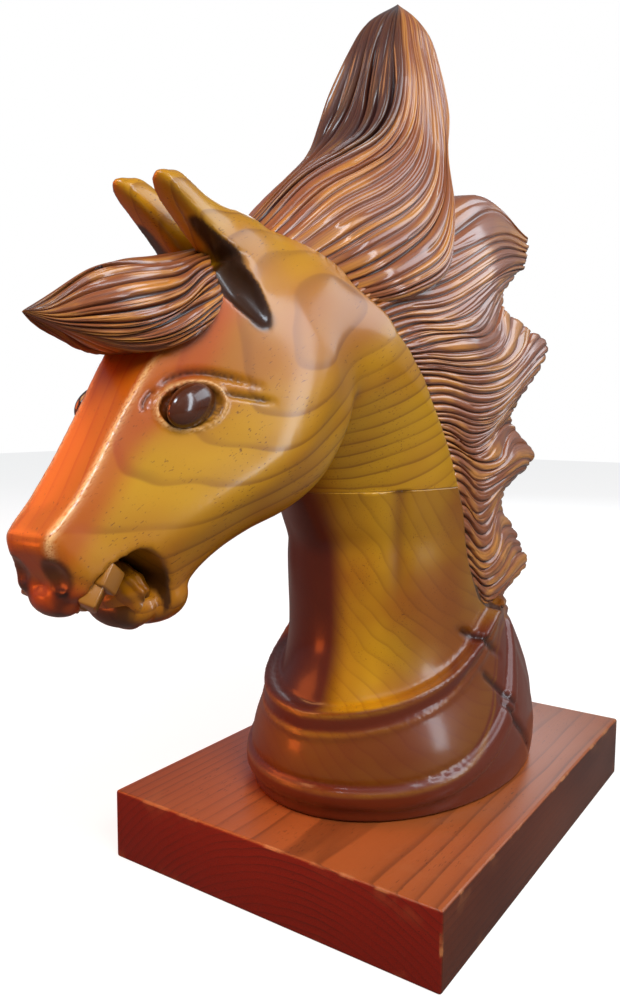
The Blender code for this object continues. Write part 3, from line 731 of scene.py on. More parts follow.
def along_path(points, path, width):
    """How near points lie to a path seen from the side: 1 on it, 0 away from it, fading at its ends."""
    path = through(range(len(path)), path, np.linspace(0, len(path) - 1, 24))
    nearest = np.full(len(points), 1e9)
    share = np.zeros(len(points))
    for k, spot in enumerate(path):
        away = np.hypot(points[:, 1] - spot[0], points[:, 2] - spot[1])
        closer = away < nearest
        nearest[closer] = away[closer]
        share[closer] = k / (len(path) - 1)
    ends = step_up(np.minimum(share, 1 - share), 0, 0.2)
    return np.exp(-(nearest / width) ** 2) * (0.25 + 0.75 * ends)


def behind_roots(points):
    """How far points lie behind the root line, seen from the side: less than 0 in front of it."""
    line = np.array(ROOT_LINE, float)
    line = through(range(len(line)), line, np.linspace(0, len(line) - 1, 90))
    runs = np.gradient(line, axis=0)
    nearest = np.full(len(points), 1e9)
    behind = np.zeros(len(points))
    for spot, run in zip(line, runs / np.linalg.norm(runs, axis=1)[:, None]):
        back = points[:, 1] - spot[0]
        up = points[:, 2] - spot[1]
        away = np.hypot(back, up)
        closer = away < nearest
        nearest[closer] = away[closer]
        behind[closer] = (up * run[0] - back * run[1])[closer]
    return np.where(nearest > np.abs(behind) + 6, -99.0, behind)


def round_neck(points):
    """Each point's turn round the neck in degrees: 0 in front, above 0 on the left side."""
    return np.degrees(np.arctan2(points[:, 0], NECK_MIDDLE - points[:, 1]))


def eye_ring(points):
    """Each point's distance from the eye's middle, in the eye's own radii."""
    along, below = head_places(points)
    turn = math.radians(EYE_TURN)
    along = along - EYE[1]
    below = below - EYE[2]
    lengthwise = along * math.cos(turn) + below * math.sin(turn)
    crosswise = -along * math.sin(turn) + below * math.cos(turn)
    return np.hypot(lengthwise / EYE_RADII[1], crosswise / EYE_RADII[2])


def carve_sides(piece):
    """Cut the lids, the sockets, the fine lines of the sides and the step down to the hair's roots."""
    points, normals = mesh_points(piece)
    on_side = step_up(np.abs(points[:, 0]), *ON_SIDE)
    lift = np.zeros(len(points))
    ring = eye_ring(points)
    near_eye = on_side * (ring < 2.5)
    lift += near_eye * 1.3 * near(ring, 1.1, 0.08)
    lift -= near_eye * 2.0 * (1 - step_up(ring, 0.9, 1.02))
    for path, width, depth in SIDE_CUTS:
        lift -= depth * on_side * along_path(points, path, width)
    turned = np.abs(round_neck(points))
    in_board = step_up(points[:, 2], *GROOVE_FOOT) * (points[:, 2] < SEAM_LEVEL) * (points[:, 1] > NECK_FRONT)
    lift -= NECK_GROOVE * in_board * near(turned, GROOVE_TURN, 4)
    lift += 0.7 * NECK_GROOVE * in_board * near(turned, RIDGE_TURN, 5.5)
    lift -= ROOT_STEP * step_up(behind_roots(points), 0.0, 2.2)
    set_points(piece, points + normals * lift[:, None])


def wrap_marks(points):
    """The wrap itself, darker on the upper band and the lower roll, and paler lines along its rims from wear and a
    painted highlight.
    """
    lines = wrap_heights(np.radians(np.abs(round_neck(points))))
    roll_top, band_foot, rim = lines[:, 1], lines[:, 2], lines[:, 3]
    height = points[:, 2]
    wrap = (1 - step_up(height, rim - 0.5, rim + 1.2)) * (points[:, 1] > NECK_FRONT)
    bands = 0.14 * step_up(height, band_foot - 0.5, band_foot + 1)
    bands = bands + 0.2 * (1 - step_up(height, roll_top, roll_top + 2.5))
    # Paler lines along the rims' edges: wear, and a painted highlight where the edges catch the light
    rim_wear_and_highlight = near(height, rim - 1.6, 1.3) + near(height, band_foot + 1, 1.2) + near(height, roll_top - 2.6, 1.5)
    return wrap, wrap * bands, np.clip(wrap * rim_wear_and_highlight, 0, 1)


def throat_shade(points):
    """Painted shade down the throat, near black, which reaches further round on the right side."""
    turn = round_neck(points)
    shade = (1 - step_up(turn, -2, 13)) * step_up(turn, -115, -85)
    return shade * (points[:, 1] > NECK_FRONT) * (1 - step_up(points[:, 2], 172, 200))


def neck_stain_and_painted_light(points):
    """How dark the neck's boards are: paler on the ridge with a painted highlight, darker in the groove with painted
    shade, and darker towards the mane.
    """
    turned = np.abs(round_neck(points))
    in_neck = points[:, 1] > NECK_FRONT
    low_board = in_neck * (1 - step_up(points[:, 2], SEAM_LEVEL - 0.5, SEAM_LEVEL + 0.5))
    groove = near(turned, GROOVE_TURN - 1, 3) * step_up(points[:, 2], GROOVE_FOOT[0] + 2, GROOVE_FOOT[1])
    # Painted highlight on the ridge and painted shade in the groove, on top of the boards' own staining
    board = 0.3 - 0.2 * near(turned, RIDGE_TURN, 7) + 0.35 * groove + 0.14 * step_up(turned, 28, 44)
    return low_board * board + 0.16 * in_neck * step_up(turned, 44, 66)


def mouth_lining(points, normals):
    """The cut faces inside the mouth, and not the cheeks that they meet."""
    along, below = head_places(points)
    lining = (points[:, 1] < NECK_FRONT) * step_up(along, 65, 69) * step_up(below, 15, 20)
    return lining * (1 - step_up(below, 57, 61)) * (1 - step_up(np.abs(normals[:, 0]), 0.3, 0.65))


def ear_linings(folded, normals):
    """The inner faces of the ears' hollows: near the hollow's middle line, and turned towards it."""
    lining = np.zeros(len(folded))
    for row in through(range(len(EAR_HOLLOW)), EAR_HOLLOW, np.linspace(0.7, len(EAR_HOLLOW) - 1.3, 16)):
        inward = np.array(on_head(*row[:3])) - folded
        away = np.linalg.norm(inward, axis=1)
        facing = np.einsum("ij,ij->i", inward, normals) / np.maximum(away, 1e-6)
        close = 1 - step_up(away, 1.3 * row[5], 1.6 * row[5] + 2)
        lining = np.maximum(lining, step_up(facing, 0.1, 0.45) * close)
    return lining


def pale_edges_wear_and_highlight(points):
    """Where the wood is paler: a painted highlight along the near edge of the face, and wear on the eyes' rims."""
    along, below = head_places(points)
    across = np.abs(points[:, 0])
    in_head = points[:, 1] < NECK_FRONT
    bridge = through([row[0] for row in HEAD], [row[3] for row in HEAD], np.clip(along, HEAD[0][0], HEAD[-1][0]))
    # Painted highlight along the bridge's edge
    edge = near(across, 0.9 * bridge, 1.3) * (below < 9) * step_up(along, -12, 12) * (1 - step_up(along, 80, 90))
    rim = step_up(across, *ON_SIDE) * near(eye_ring(points), 1.13, 0.07)
    return in_head * (0.9 * edge + 0.7 * rim)


def paint(piece):
    """The marks: brown staining with painted shade and highlight on the neck, painted shade in the hollows, a red tint
    with painted red light, and wear with a painted highlight on the edges.
    """
    points, normals = mesh_points(piece)
    along, below = head_places(points)
    in_head = points[:, 1] < NECK_FRONT
    on_side = step_up(np.abs(points[:, 0]), *ON_SIDE)
    one_side = np.where(points[:, :1] < 0, (-1, 1, 1), (1, 1, 1))
    folded = points * one_side
    wrap, bands, rim_wear_and_highlight = wrap_marks(points)
    muzzle = in_head * step_up(along, 74, 94) * (below < 60)
    # Brown staining on the wrap and the muzzle, darker bands on the wrap, painted shade down the throat and in the
    # neck's groove, and a painted highlight on the neck's ridge
    stain_and_shade = 0.86 * wrap + bands + 0.2 * muzzle + (1 - wrap) * (0.95 * throat_shade(points) + neck_stain_and_painted_light(points))
    mark(piece, "stain_and_shade", np.clip(stain_and_shade - 0.28 * rim_wear_and_highlight, 0, 1))
    # Painted shade: the mouth's lining, the nostrils, the hollows under them, the eye sockets, the ears' hollows, the
    # hair's roots, the throat and the side cuts are darkened where shade falls
    nostril = 1 - step_up(np.linalg.norm(folded - on_head(*NOSTRIL), axis=1), 8.5, 10.5)
    lower_hollow = 1 - step_up(np.linalg.norm(folded - on_head(*LOWER_HOLLOW), axis=1), 5, 7.5)
    socket = in_head * on_side * (1 - step_up(eye_ring(points), 0.95, 1.04))
    creases = [along_path(points, path, 0.8 * width) for path, width, _ in SIDE_CUTS]
    dark = 0.85 * mouth_lining(points, normals) + 0.72 * nostril + 0.65 * lower_hollow + 0.85 * socket
    dark = dark + 0.95 * ear_linings(folded, normals * one_side) + 0.8 * step_up(behind_roots(points), -0.6, 1.5)
    dark = dark + 0.55 * throat_shade(points) * (1 - wrap) + 0.85 * np.max(creases, axis=0) * on_side
    mark(piece, "hollow", np.clip(dark, 0, 1))
    # A red tint on the forehead, bridge and lips: partly red staining, partly painted red light
    face = (1 - step_up(below - 8 * (1 - step_up(along, 0, 40)), 4, 14)) * step_up(along, -60, -30)
    lip = step_up(along, 84, 92) * step_up(below, 8, 13) * (1 - step_up(below, 30, 36))
    mark(piece, "glow", np.clip(in_head * (face + 1.2 * lip), 0, 1.3))
    mark(piece, "pale_wear_and_highlight", pale_edges_wear_and_highlight(points))


def blend_creases(piece, places, turns):
    """Smooth the mesh where forms run into one another. Each place is a grid point and a reach."""
    points = mesh_points(piece)[0]
    weights = np.zeros(len(points))
    for middle, reach in places:
        spot = np.array(middle)
        away = np.linalg.norm(np.abs(points * (1, 0, 0)) + points * (0, 1, 1) - spot, axis=1)
        weights = np.maximum(weights, 1 - step_up(away, 0.55 * reach, reach))
    group = piece.vertex_groups.new(name="creases")
    for level in range(1, 11):
        chosen = np.nonzero(np.round(weights * 10) == level)[0]
        group.add(chosen.tolist(), level / 10, "REPLACE")
    apply(piece, "SMOOTH", factor=0.5, iterations=turns, vertex_group="creases")
    piece.vertex_groups.clear()


# Where the mesh is smoothed, as grid points with a reach: the bend of the neck, and the crest behind the ears
NECK_BEND = (((0, -82, 138), 26), ((30, -74, 138), 24), ((48, -48, 138), 24), ((55, -12, 138), 24))
CREASES = (((45, -124, 240), 26), ((44, -126, 258), 34), ((38, -130, 272), 32), ((28, -140, 283), 28),
           ((22, -152, 284), 22), ((30, -164, 274), 18))


def carved_body():
    """Head, ears, chin and neck made one, then smoothed as if sanded."""
    skull = head()
    jaw_end = egg("chin", (0, 72, 54.5), (24.5, 14, 13.5))
    join(skull, jaw_end)
    apply(skull, "REMESH", mode="VOXEL", voxel_size=CARVING_GRAIN)
    cut(skull, mouth_tool())
    upper_lip = egg("upper lip", (0, 92, 20), (12.5, 7, 7.5))
    side_lips = egg("side lips", (8, 88, 16), (10, 6, 5.5), twin=True)
    lower_lip = egg("lower lip", (0, 80.5, 50), (18, 10, 8))
    ears = ear_form("ears", EAR_LEAF, EAR_FACING, EAR_FACING)
    body = neck()
    join(body, skull, upper_lip, side_lips, lower_lip, ears)
    apply(body, "REMESH", mode="VOXEL", voxel_size=CARVING_GRAIN)
    hollows = ear_form("ear hollows", EAR_HOLLOW, HOLLOW_FOOT_FACING, HOLLOW_TIP_FACING)
    nostrils = egg("nostrils", NOSTRIL, (9.5, 8, 8.5), turn=-24, twin=True)
    lower_hollows = egg("lower hollows", LOWER_HOLLOW, (7, 4, 3.6), turn=-24, twin=True)
    blend_creases(body, CREASES, 500)
    blend_creases(body, NECK_BEND, 120)
    cut(body, hollows, nostrils, lower_hollows)
    apply(body, "REMESH", mode="VOXEL", voxel_size=CARVING_GRAIN)
    apply(body, "SMOOTH", factor=0.5, iterations=2)
    carve_sides(body)
    paint(body)
    body.name = "body"
    return body


def part_at_seam(body):
    """Saw the neck from the head at the glue joint, so that each stays a modest mesh."""
    level = placed((0, 0, SEAM_LEVEL))[2]
    select_only(body)
    bpy.ops.object.mode_set(mode="EDIT")
    bpy.ops.mesh.select_all(action="SELECT")
    bpy.ops.mesh.bisect(plane_co=(0, 0, level), plane_no=(0, 0, 1))
    bpy.ops.mesh.select_all(action="DESELECT")
    bpy.ops.object.mode_set(mode="OBJECT")
    before_neck = placed((0, -140, 0))[1]
    for face in body.data.polygons:
        face.select = face.center.z < level and face.center.y > before_neck
    bpy.ops.object.mode_set(mode="EDIT")
    bpy.ops.mesh.select_mode(type="FACE")
    bpy.ops.mesh.separate(type="SELECTED")
    bpy.ops.object.mode_set(mode="OBJECT")
    neck_piece = [item for item in bpy.context.selected_objects if item is not body][0]
    for piece in (body, neck_piece):
        select_only(piece)
        bpy.ops.object.mode_set(mode="EDIT")
        bpy.ops.mesh.select_mode(type="EDGE")
        bpy.ops.mesh.select_all(action="DESELECT")
        bpy.ops.mesh.select_non_manifold()
        bpy.ops.mesh.edge_face_add()
        bpy.ops.mesh.select_all(action="DESELECT")
        bpy.ops.object.mode_set(mode="OBJECT")
    body.name = "carved_head"
    neck_piece.name = "carved_neck"
    return body, neck_piece


# Front teeth behind the lip and two at the side: middle (across, down the face, in from it), size, lean
TEETH = (((3.6, 90.5, 25), (6.5, 5, 8), 0), ((9.4, 89.5, 24), (6, 5, 8), 20), ((14.6, 88, 22.5), (10.5, 6.5, 10), 50),
         ((17.2, 80.4, 23), (10.5, 6, 9.5), 76))


def teeth():
    """Square pegs round the jaw's edge, each softened with a bevel."""
    pegs = []
    for side in (1, -1):
        for (across, along, below), size, lean in TEETH:
            bpy.ops.object.select_all(action="DESELECT")
            bpy.ops.mesh.primitive_cube_add(size=1)
            peg = bpy.context.object
            turned = Matrix.Rotation(HEAD_PITCH - math.radians(90), 4, "X")
            turned = turned @ Matrix.Rotation(-side * math.radians(lean), 4, "Z")
            shape = Matrix.Diagonal((*(length * UNIT for length in size), 1))
            peg.data.transform(Matrix.Translation(placed(on_head(side * across, along, below))) @ turned @ shape)
            apply(peg, "BEVEL", width=1.1 * UNIT, segments=3)
            pegs.append(peg)
    join(*pegs)
    pegs[0].name = "teeth"
    smooth_faces(pegs[0], 40)
    return pegs[0]


def tongue():
    """A lump left rough by the gouge, with a chip out of its near side."""
    piece = egg("tongue", (0, 78.5, 46), (17.5, 14.5, 7), turn=50, segments=96)
    points, normals = mesh_points(piece)
    along, below = head_places(points)
    hole = np.exp(-((along - 79) ** 2 + (below - 46.5) ** 2) / 6.0) * step_up(np.abs(points[:, 0]), 6, 10)
    chips = np.sin(along * 0.8 + points[:, 0] * 0.35) * np.sin(below * 0.55 + 0.6) + 0.6 * np.sin(along * 1.7 - below)
    set_points(piece, points + normals * (0.55 * chips - 3.6 * hole)[:, None])
    # Painted shade: the chip's hole and the tongue's far part, deeper in the mouth, are darkened
    mark(piece, "hollow", np.clip(1.3 * hole + 0.3 * step_up(below, 50, 56), 0, 1))
    mark(piece, "stain_and_shade", 0.2 + 0.65 * step_up(below, 46, 54))
    smooth_faces(piece)
    return piece


def eyes():
    """The eyeballs, a little larger than their sockets so that no gap shows."""
    radii = (EYE_RADII[0] - 0.2, EYE_RADII[1] + 0.9, EYE_RADII[2] + 0.4)
    piece = egg("eyes", EYE, radii, turn=EYE_TURN, twin=True, segments=64)
    smooth_faces(piece)
    return piece


# The block

BLOCK_EDGE = 0.0016


def block():
    """The solid's own box with its edges eased."""
    size = BLOCK_HIGH - BLOCK_LOW
    middle = (BLOCK_HIGH + BLOCK_LOW) / 2
    bpy.ops.object.select_all(action="DESELECT")
    bpy.ops.mesh.primitive_cube_add(size=1, location=middle, scale=size)
    piece = bpy.context.object
    piece.name = "stained_block"
    bpy.ops.object.transform_apply(location=True, rotation=True, scale=True)
    apply(piece, "BEVEL", width=BLOCK_EDGE, segments=4)
    smooth_faces(piece, 30)
    return piece


# Finishes: the colours of the woods and stains, and of painted light and shade

AMBER_GOLD = (0.47, 0.24, 0.004, 1)
AMBER_BROWN = (0.34, 0.115, 0.003, 1)
LATE_WOOD = (0.14, 0.038, 0.002, 1)
RED_TINT_AND_PAINTED_LIGHT = (0.36, 0.038, 0.003, 1)
PALE_WEAR_AND_HIGHLIGHT = (0.8, 0.5, 0.22, 1)
BROWN_STAIN_AND_SHADE = (0.11, 0.016, 0.004, 1)
HOLLOW_SHADE = (0.014, 0.003, 0.002, 1)
PINE_PORES = (0.08, 0.02, 0.005, 1)
HAIR_RIDGES = (0.46, 0.18, 0.03, 1)
HAIR_STAIN = (0.24, 0.07, 0.022, 1)
HAIR_CUT_SHADE = (0.045, 0.01, 0.005, 1)
HAIR_FRONT = (0.022, 0.007, 0.007, 1)
MAHOGANY = (0.12, 0.022, 0.005, 1)
MAHOGANY_DARK = (0.065, 0.011, 0.003, 1)
MAHOGANY_FRONT_RED_LIGHT = (0.17, 0.008, 0.002, 1)
MAHOGANY_TOP_LIGHT = (0.3, 0.075, 0.018, 1)
MAHOGANY_LATE = (0.028, 0.006, 0.003, 1)
MAHOGANY_PORES = (0.02, 0.006, 0.004, 1)
WORN_EDGE = (0.36, 0.13, 0.045, 1)
EYE_BROWN = (0.1, 0.024, 0.006, 1)
EYE_DARK = (0.02, 0.004, 0.002, 1)
TOOTH_LIGHT = (0.4, 0.18, 0.02, 1)
TOOTH_BROWN = (0.26, 0.09, 0.01, 1)


def add(tree, kind, inputs=None, **settings):
    """A node with its settings, whose inputs are numbers, colours or other nodes' outputs."""
    node = tree.nodes.new(kind)
    for setting, value in settings.items():
        setattr(node, setting, value)
    for name, value in (inputs or {}).items():
        if isinstance(value, bpy.types.NodeSocket):
            tree.links.new(value, node.inputs[name])
        else:
            node.inputs[name].default_value = value
    return node


def maths(tree, operation, first, second=0.0, third=0.0):
    return add(tree, "ShaderNodeMath", {0: first, 1: second, 2: third}, operation=operation).outputs[0]


def mix_colour(tree, share, first, second, blend="MIX"):
    node = add(tree, "ShaderNodeMix", data_type="RGBA", blend_type=blend)
    for socket, value in ((node.inputs[0], share), (node.inputs[6], first), (node.inputs[7], second)):
        if isinstance(value, bpy.types.NodeSocket):
            tree.links.new(value, socket)
        else:
            socket.default_value = value
    return node.outputs[2]


def ramp(tree, value, low, high):
    """0 up to low, 1 from high on, smooth between."""
    return add(tree, "ShaderNodeMapRange", {"Value": value, "From Min": low, "From Max": high},
               interpolation_type="SMOOTHSTEP").outputs[0]


def between(tree, value, low, high):
    """A value from 0 to 1 laid out between low and high."""
    return add(tree, "ShaderNodeMapRange", {"Value": value, "To Min": low, "To Max": high}).outputs[0]


def noise(tree, vector, scale, detail=3.0, roughness=0.5):
    return add(tree, "ShaderNodeTexNoise", {"Vector": vector, "Scale": scale, "Detail": detail,
                                            "Roughness": roughness}).outputs[0]


def stretched(tree, vector, scale):
    return add(tree, "ShaderNodeVectorMath", {0: vector, 1: scale}, operation="MULTIPLY").outputs[0]


def new_group(name, inputs, outputs):
    group = bpy.data.node_groups.new(name, "ShaderNodeTree")
    for socket, kind in inputs:
        group.interface.new_socket(name=socket, in_out="INPUT", socket_type=kind)
    for socket, kind in outputs:
        group.interface.new_socket(name=socket, in_out="OUTPUT", socket_type=kind)
    return group, group.nodes.new("NodeGroupInput").outputs, group.nodes.new("NodeGroupOutput")


def board_grain_group():
    """Growth rings round the Z axis, pores along it, and cloudy tone: the board's own figure."""
    number = "NodeSocketFloat"
    group, given, out = new_group("board grain",
                                  (("Vector", "NodeSocketVector"), ("Rings", number), ("Wander", number)),
                                  (("Late Wood", number), ("Pores", number), ("Cloud", number), ("Fibre", number)))
    vector = stretched(group, given["Vector"], (1, 1, 0.16))
    rings = add(group, "ShaderNodeTexWave", {"Vector": vector, "Scale": given["Rings"], "Distortion": given["Wander"],
                                             "Detail": 2.0, "Detail Scale": 0.5},
                wave_type="RINGS", rings_direction="Z", wave_profile="SAW").outputs["Fac"]
    strength = ramp(group, noise(group, stretched(group, given["Vector"], (1, 1, 0.3)), 30, 1.0), 0.3, 0.7)
    line = maths(group, "MULTIPLY_ADD", ramp(group, rings, 0.72, 0.92), 0.65, maths(group, "MULTIPLY", ramp(
        group, rings, 0.2, 0.9), 0.35))
    late = maths(group, "MULTIPLY", line, maths(group, "SUBTRACT", 1.0, ramp(group, rings, 0.93, 1.0)))
    late = maths(group, "MULTIPLY", late, maths(group, "MULTIPLY_ADD", strength, 0.55, 0.45))
    flecks = noise(group, stretched(group, given["Vector"], (1, 1, 0.16)), 1500, 1.0)
    patches = noise(group, given["Vector"], 45, 2.0)
    pores = maths(group, "MULTIPLY", ramp(group, flecks, 0.66, 0.72), ramp(group, patches, 0.42, 0.6))
    cloud = noise(group, stretched(group, given["Vector"], (1, 1, 0.4)), 16, 3.0)
    fibre = noise(group, stretched(group, given["Vector"], (1, 1, 0.03)), 1400, 2.0)
    for name, value in (("Late Wood", late), ("Pores", pores), ("Cloud", cloud), ("Fibre", fibre)):
        group.links.new(value, out.inputs[name])
    return group


def strand_group():
    """Fine lines that run along hair, from the piece's own lengthwise map."""
    number = "NodeSocketFloat"
    group, given, out = new_group("hair strands", (("Vector", "NodeSocketVector"), ("Fineness", number)),
                                  (("Strands", number), ("Patches", number)))
    fine = stretched(group, given["Vector"], (3, 130, 1))
    strands = noise(group, fine, given["Fineness"], 3.0, 0.6)
    patches = noise(group, stretched(group, given["Vector"], (2.5, 9, 1)), 1.6, 2.0)
    group.links.new(strands, out.inputs["Strands"])
    group.links.new(patches, out.inputs["Patches"])
    return group


BOARD_GRAIN = board_grain_group()
HAIR_STRANDS = strand_group()


def finish(name, **values):
    """A new material and its shader, with the plain values set on the shader itself."""
    material = bpy.data.materials.new(name)
    material.use_nodes = True
    shader = material.node_tree.nodes["Principled BSDF"]
    for socket, value in values.items():
        shader.inputs[socket.replace("_", " ")].default_value = value
    return material, material.node_tree, shader


def attribute(tree, name):
    return add(tree, "ShaderNodeAttribute", attribute_name=name).outputs["Fac"]


def grained(tree, location, turn, rings, wander):
    """The board grain, laid with a Mapping node: where the heart of the tree lies and how it leans in degrees."""
    place = add(tree, "ShaderNodeTexCoord").outputs["Object"]
    laid = add(tree, "ShaderNodeMapping", {"Vector": place, "Location": location,
                                             "Rotation": tuple(math.radians(angle) for angle in turn)},
               vector_type="TEXTURE").outputs[0]
    node = add(tree, "ShaderNodeGroup", node_tree=BOARD_GRAIN)
    tree.links.new(laid, node.inputs["Vector"])
    node.inputs["Rings"].default_value = rings
    node.inputs["Wander"].default_value = wander
    return node.outputs


def varnished_pine(name, location, turn, rings, contrast):
    """Pine under amber varnish, darkened by staining and painted shade, reddened by a red tint and painted red light,
    and paled by wear and a painted highlight where the piece is marked.
    """
    material, tree, shader = finish(name, Coat_Weight=0.55, Coat_Roughness=0.15, Coat_IOR=1.42,
                                    Specular_IOR_Level=0.3)
    grain = grained(tree, location, turn, rings, 7.0)
    gold = mix_colour(tree, ramp(tree, grain["Cloud"], 0.38, 0.66), AMBER_GOLD, AMBER_BROWN)
    wood = mix_colour(tree, maths(tree, "MULTIPLY", grain["Late Wood"], contrast), gold, LATE_WOOD)
    # Red tint and painted red light where marked
    red = mix_colour(tree, maths(tree, "MULTIPLY", attribute(tree, "glow"), 0.7), wood, RED_TINT_AND_PAINTED_LIGHT)
    # Paler where marked: a painted highlight on the bridge's edge and wear on the eyes' rims
    pale = maths(tree, "MULTIPLY", attribute(tree, "pale_wear_and_highlight"), ramp(tree, grain["Fibre"], 0.2, 0.6))
    red = mix_colour(tree, pale, red, PALE_WEAR_AND_HIGHLIGHT)
    # Brown staining, with painted shade where the piece is so marked
    brown = mix_colour(tree, attribute(tree, "stain_and_shade"), red, BROWN_STAIN_AND_SHADE)
    # Painted shade in the marked hollows
    dark = mix_colour(tree, attribute(tree, "hollow"), brown, HOLLOW_SHADE)
    flecked = mix_colour(tree, maths(tree, "MULTIPLY", grain["Pores"], 0.7), dark, PINE_PORES)
    tree.links.new(flecked, shader.inputs["Base Color"])
    tree.links.new(between(tree, grain["Cloud"], 0.28, 0.42), shader.inputs["Roughness"])
    height = maths(tree, "SUBTRACT", maths(tree, "MULTIPLY", grain["Fibre"], 0.25), grain["Pores"])
    bump = add(tree, "ShaderNodeBump", {"Height": height, "Strength": 0.12, "Distance": 0.0005})
    tree.links.new(bump.outputs[0], shader.inputs["Normal"])
    return material


def stained_hair():
    """Red-brown hair, darkened with painted shade in the cuts and paler on the ridges from wear and a painted
    highlight.
    """
    material, tree, shader = finish("stained mane", Coat_Weight=1.0, Coat_Roughness=0.13, Coat_IOR=1.45,
                                    Specular_IOR_Level=0.25)
    mapped = add(tree, "ShaderNodeTexCoord").outputs["UV"]
    strands = add(tree, "ShaderNodeGroup", node_tree=HAIR_STRANDS)
    tree.links.new(mapped, strands.inputs["Vector"])
    strands.inputs["Fineness"].default_value = 1.0
    # Golden patches on the ridges: wear and painted highlight
    patch = ramp(tree, strands.outputs["Patches"], 0.42, 0.6)
    pale_wear_and_highlight = ramp(tree, attribute(tree, "ridge"), 0.35, 1.0)
    wood = mix_colour(tree, maths(tree, "MULTIPLY", patch, pale_wear_and_highlight), HAIR_STAIN, HAIR_RIDGES)
    # Painted shade in the fine strand lines and in the cuts
    lines = maths(tree, "MULTIPLY", ramp(tree, strands.outputs["Strands"], 0.5, 0.75), 0.5)
    lined = mix_colour(tree, lines, wood, HAIR_CUT_SHADE)
    stained = mix_colour(tree, ramp(tree, attribute(tree, "cut"), 0.2, 0.85), lined, HAIR_CUT_SHADE)
    # Painted shade on the spire's front facet; on the forelock this darkens the tip and the middle line
    dark = mix_colour(tree, maths(tree, "MULTIPLY", attribute(tree, "front"), 0.85), stained, HAIR_FRONT)
    tree.links.new(dark, shader.inputs["Base Color"])
    tree.links.new(between(tree, strands.outputs["Strands"], 0.25, 0.5), shader.inputs["Roughness"])
    bump = add(tree, "ShaderNodeBump", {"Height": strands.outputs["Strands"], "Strength": 0.35, "Distance": 0.0006})
    tree.links.new(bump.outputs[0], shader.inputs["Normal"])
    return material


def mahogany_block():
    """Mahogany-stained wood with painted light: redder in front for red light and lighter on top for light from above,
    knocked pale along the edges.
    """
    material, tree, shader = finish("mahogany stained block", Coat_Weight=0.25, Coat_Roughness=0.3,
                                    Specular_IOR_Level=0.25)
    grain = grained(tree, (0.03, 0, -0.09), (90, 0, 0), 80, 3.0)
    place = add(tree, "ShaderNodeTexCoord").outputs
    facing = add(tree, "ShaderNodeSeparateXYZ", {0: place["Normal"]}).outputs
    up = facing["Z"]
    to_front = maths(tree, "MULTIPLY", facing["Y"], -1.0)
    brown = mix_colour(tree, ramp(tree, grain["Cloud"], 0.3, 0.7), MAHOGANY, MAHOGANY_DARK)
    # Painted light: a redder front and a lighter top
    brown = mix_colour(tree, ramp(tree, to_front, 0.3, 0.8), brown, MAHOGANY_FRONT_RED_LIGHT)
    brown = mix_colour(tree, ramp(tree, up, 0.3, 0.8), brown, MAHOGANY_TOP_LIGHT)
    wood = mix_colour(tree, maths(tree, "MULTIPLY", grain["Late Wood"], 0.5), brown, MAHOGANY_LATE)
    edges = [maths(tree, "ABSOLUTE", maths(tree, "MULTIPLY", facing[first], facing[second]))
             for first, second in (("X", "Y"), ("X", "Z"), ("Y", "Z"))]
    edge = ramp(tree, maths(tree, "ADD", maths(tree, "ADD", edges[0], edges[1]), edges[2]), 0.1, 0.4)
    knocks = ramp(tree, noise(tree, place["Object"], 70), 0.5, 0.66)
    wood = mix_colour(tree, maths(tree, "MULTIPLY", edge, knocks), wood, WORN_EDGE)
    flecked = mix_colour(tree, maths(tree, "MULTIPLY", grain["Pores"], 0.6), wood, MAHOGANY_PORES)
    tree.links.new(flecked, shader.inputs["Base Color"])
    tree.links.new(between(tree, grain["Cloud"], 0.3, 0.5), shader.inputs["Roughness"])
    bump = add(tree, "ShaderNodeBump", {"Height": grain["Fibre"], "Strength": 0.2, "Distance": 0.0005})
    tree.links.new(bump.outputs[0], shader.inputs["Normal"])
    return material


def dark_eye():
    material, tree, shader = finish("dark varnished eye", Coat_Weight=0.5, Coat_Roughness=0.08)
    grain = grained(tree, (0, -0.2, 0.2), (0, 0, 0), 60, 2.0)
    colour = mix_colour(tree, grain["Cloud"], EYE_DARK, EYE_BROWN)
    tree.links.new(colour, shader.inputs["Base Color"])
    shader.inputs["Roughness"].default_value = 0.2
    return material


def tooth_wood():
    material, tree, shader = finish("varnished teeth", Coat_Weight=0.5, Coat_Roughness=0.15)
    grain = grained(tree, (0, -0.2, 0.2), (60, 0, 0), 60, 2.0)
    colour = mix_colour(tree, grain["Cloud"], TOOTH_LIGHT, TOOTH_BROWN)
    tree.links.new(colour, shader.inputs["Base Color"])
    shader.inputs["Roughness"].default_value = 0.3
    return material


def dress(piece, material):
    """Give a piece its finish, and tie it to the part's one body."""
    piece.data.materials.clear()
    piece.data.materials.append(material)
    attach(piece, "root")


# Camera and lights

# Where the photographer stood and how the camera was held, fitted to the block's corners
CAMERA_PLACE = (0.24296, -0.44796, 0.24914)
CAMERA_YAW = 34.4826
CAMERA_PITCH = 5.9804
CAMERA_ROLL = -0.3385
CAMERA_LENS = 30.256
FIGURE_MIDDLE = (0, -0.05, 0.25)

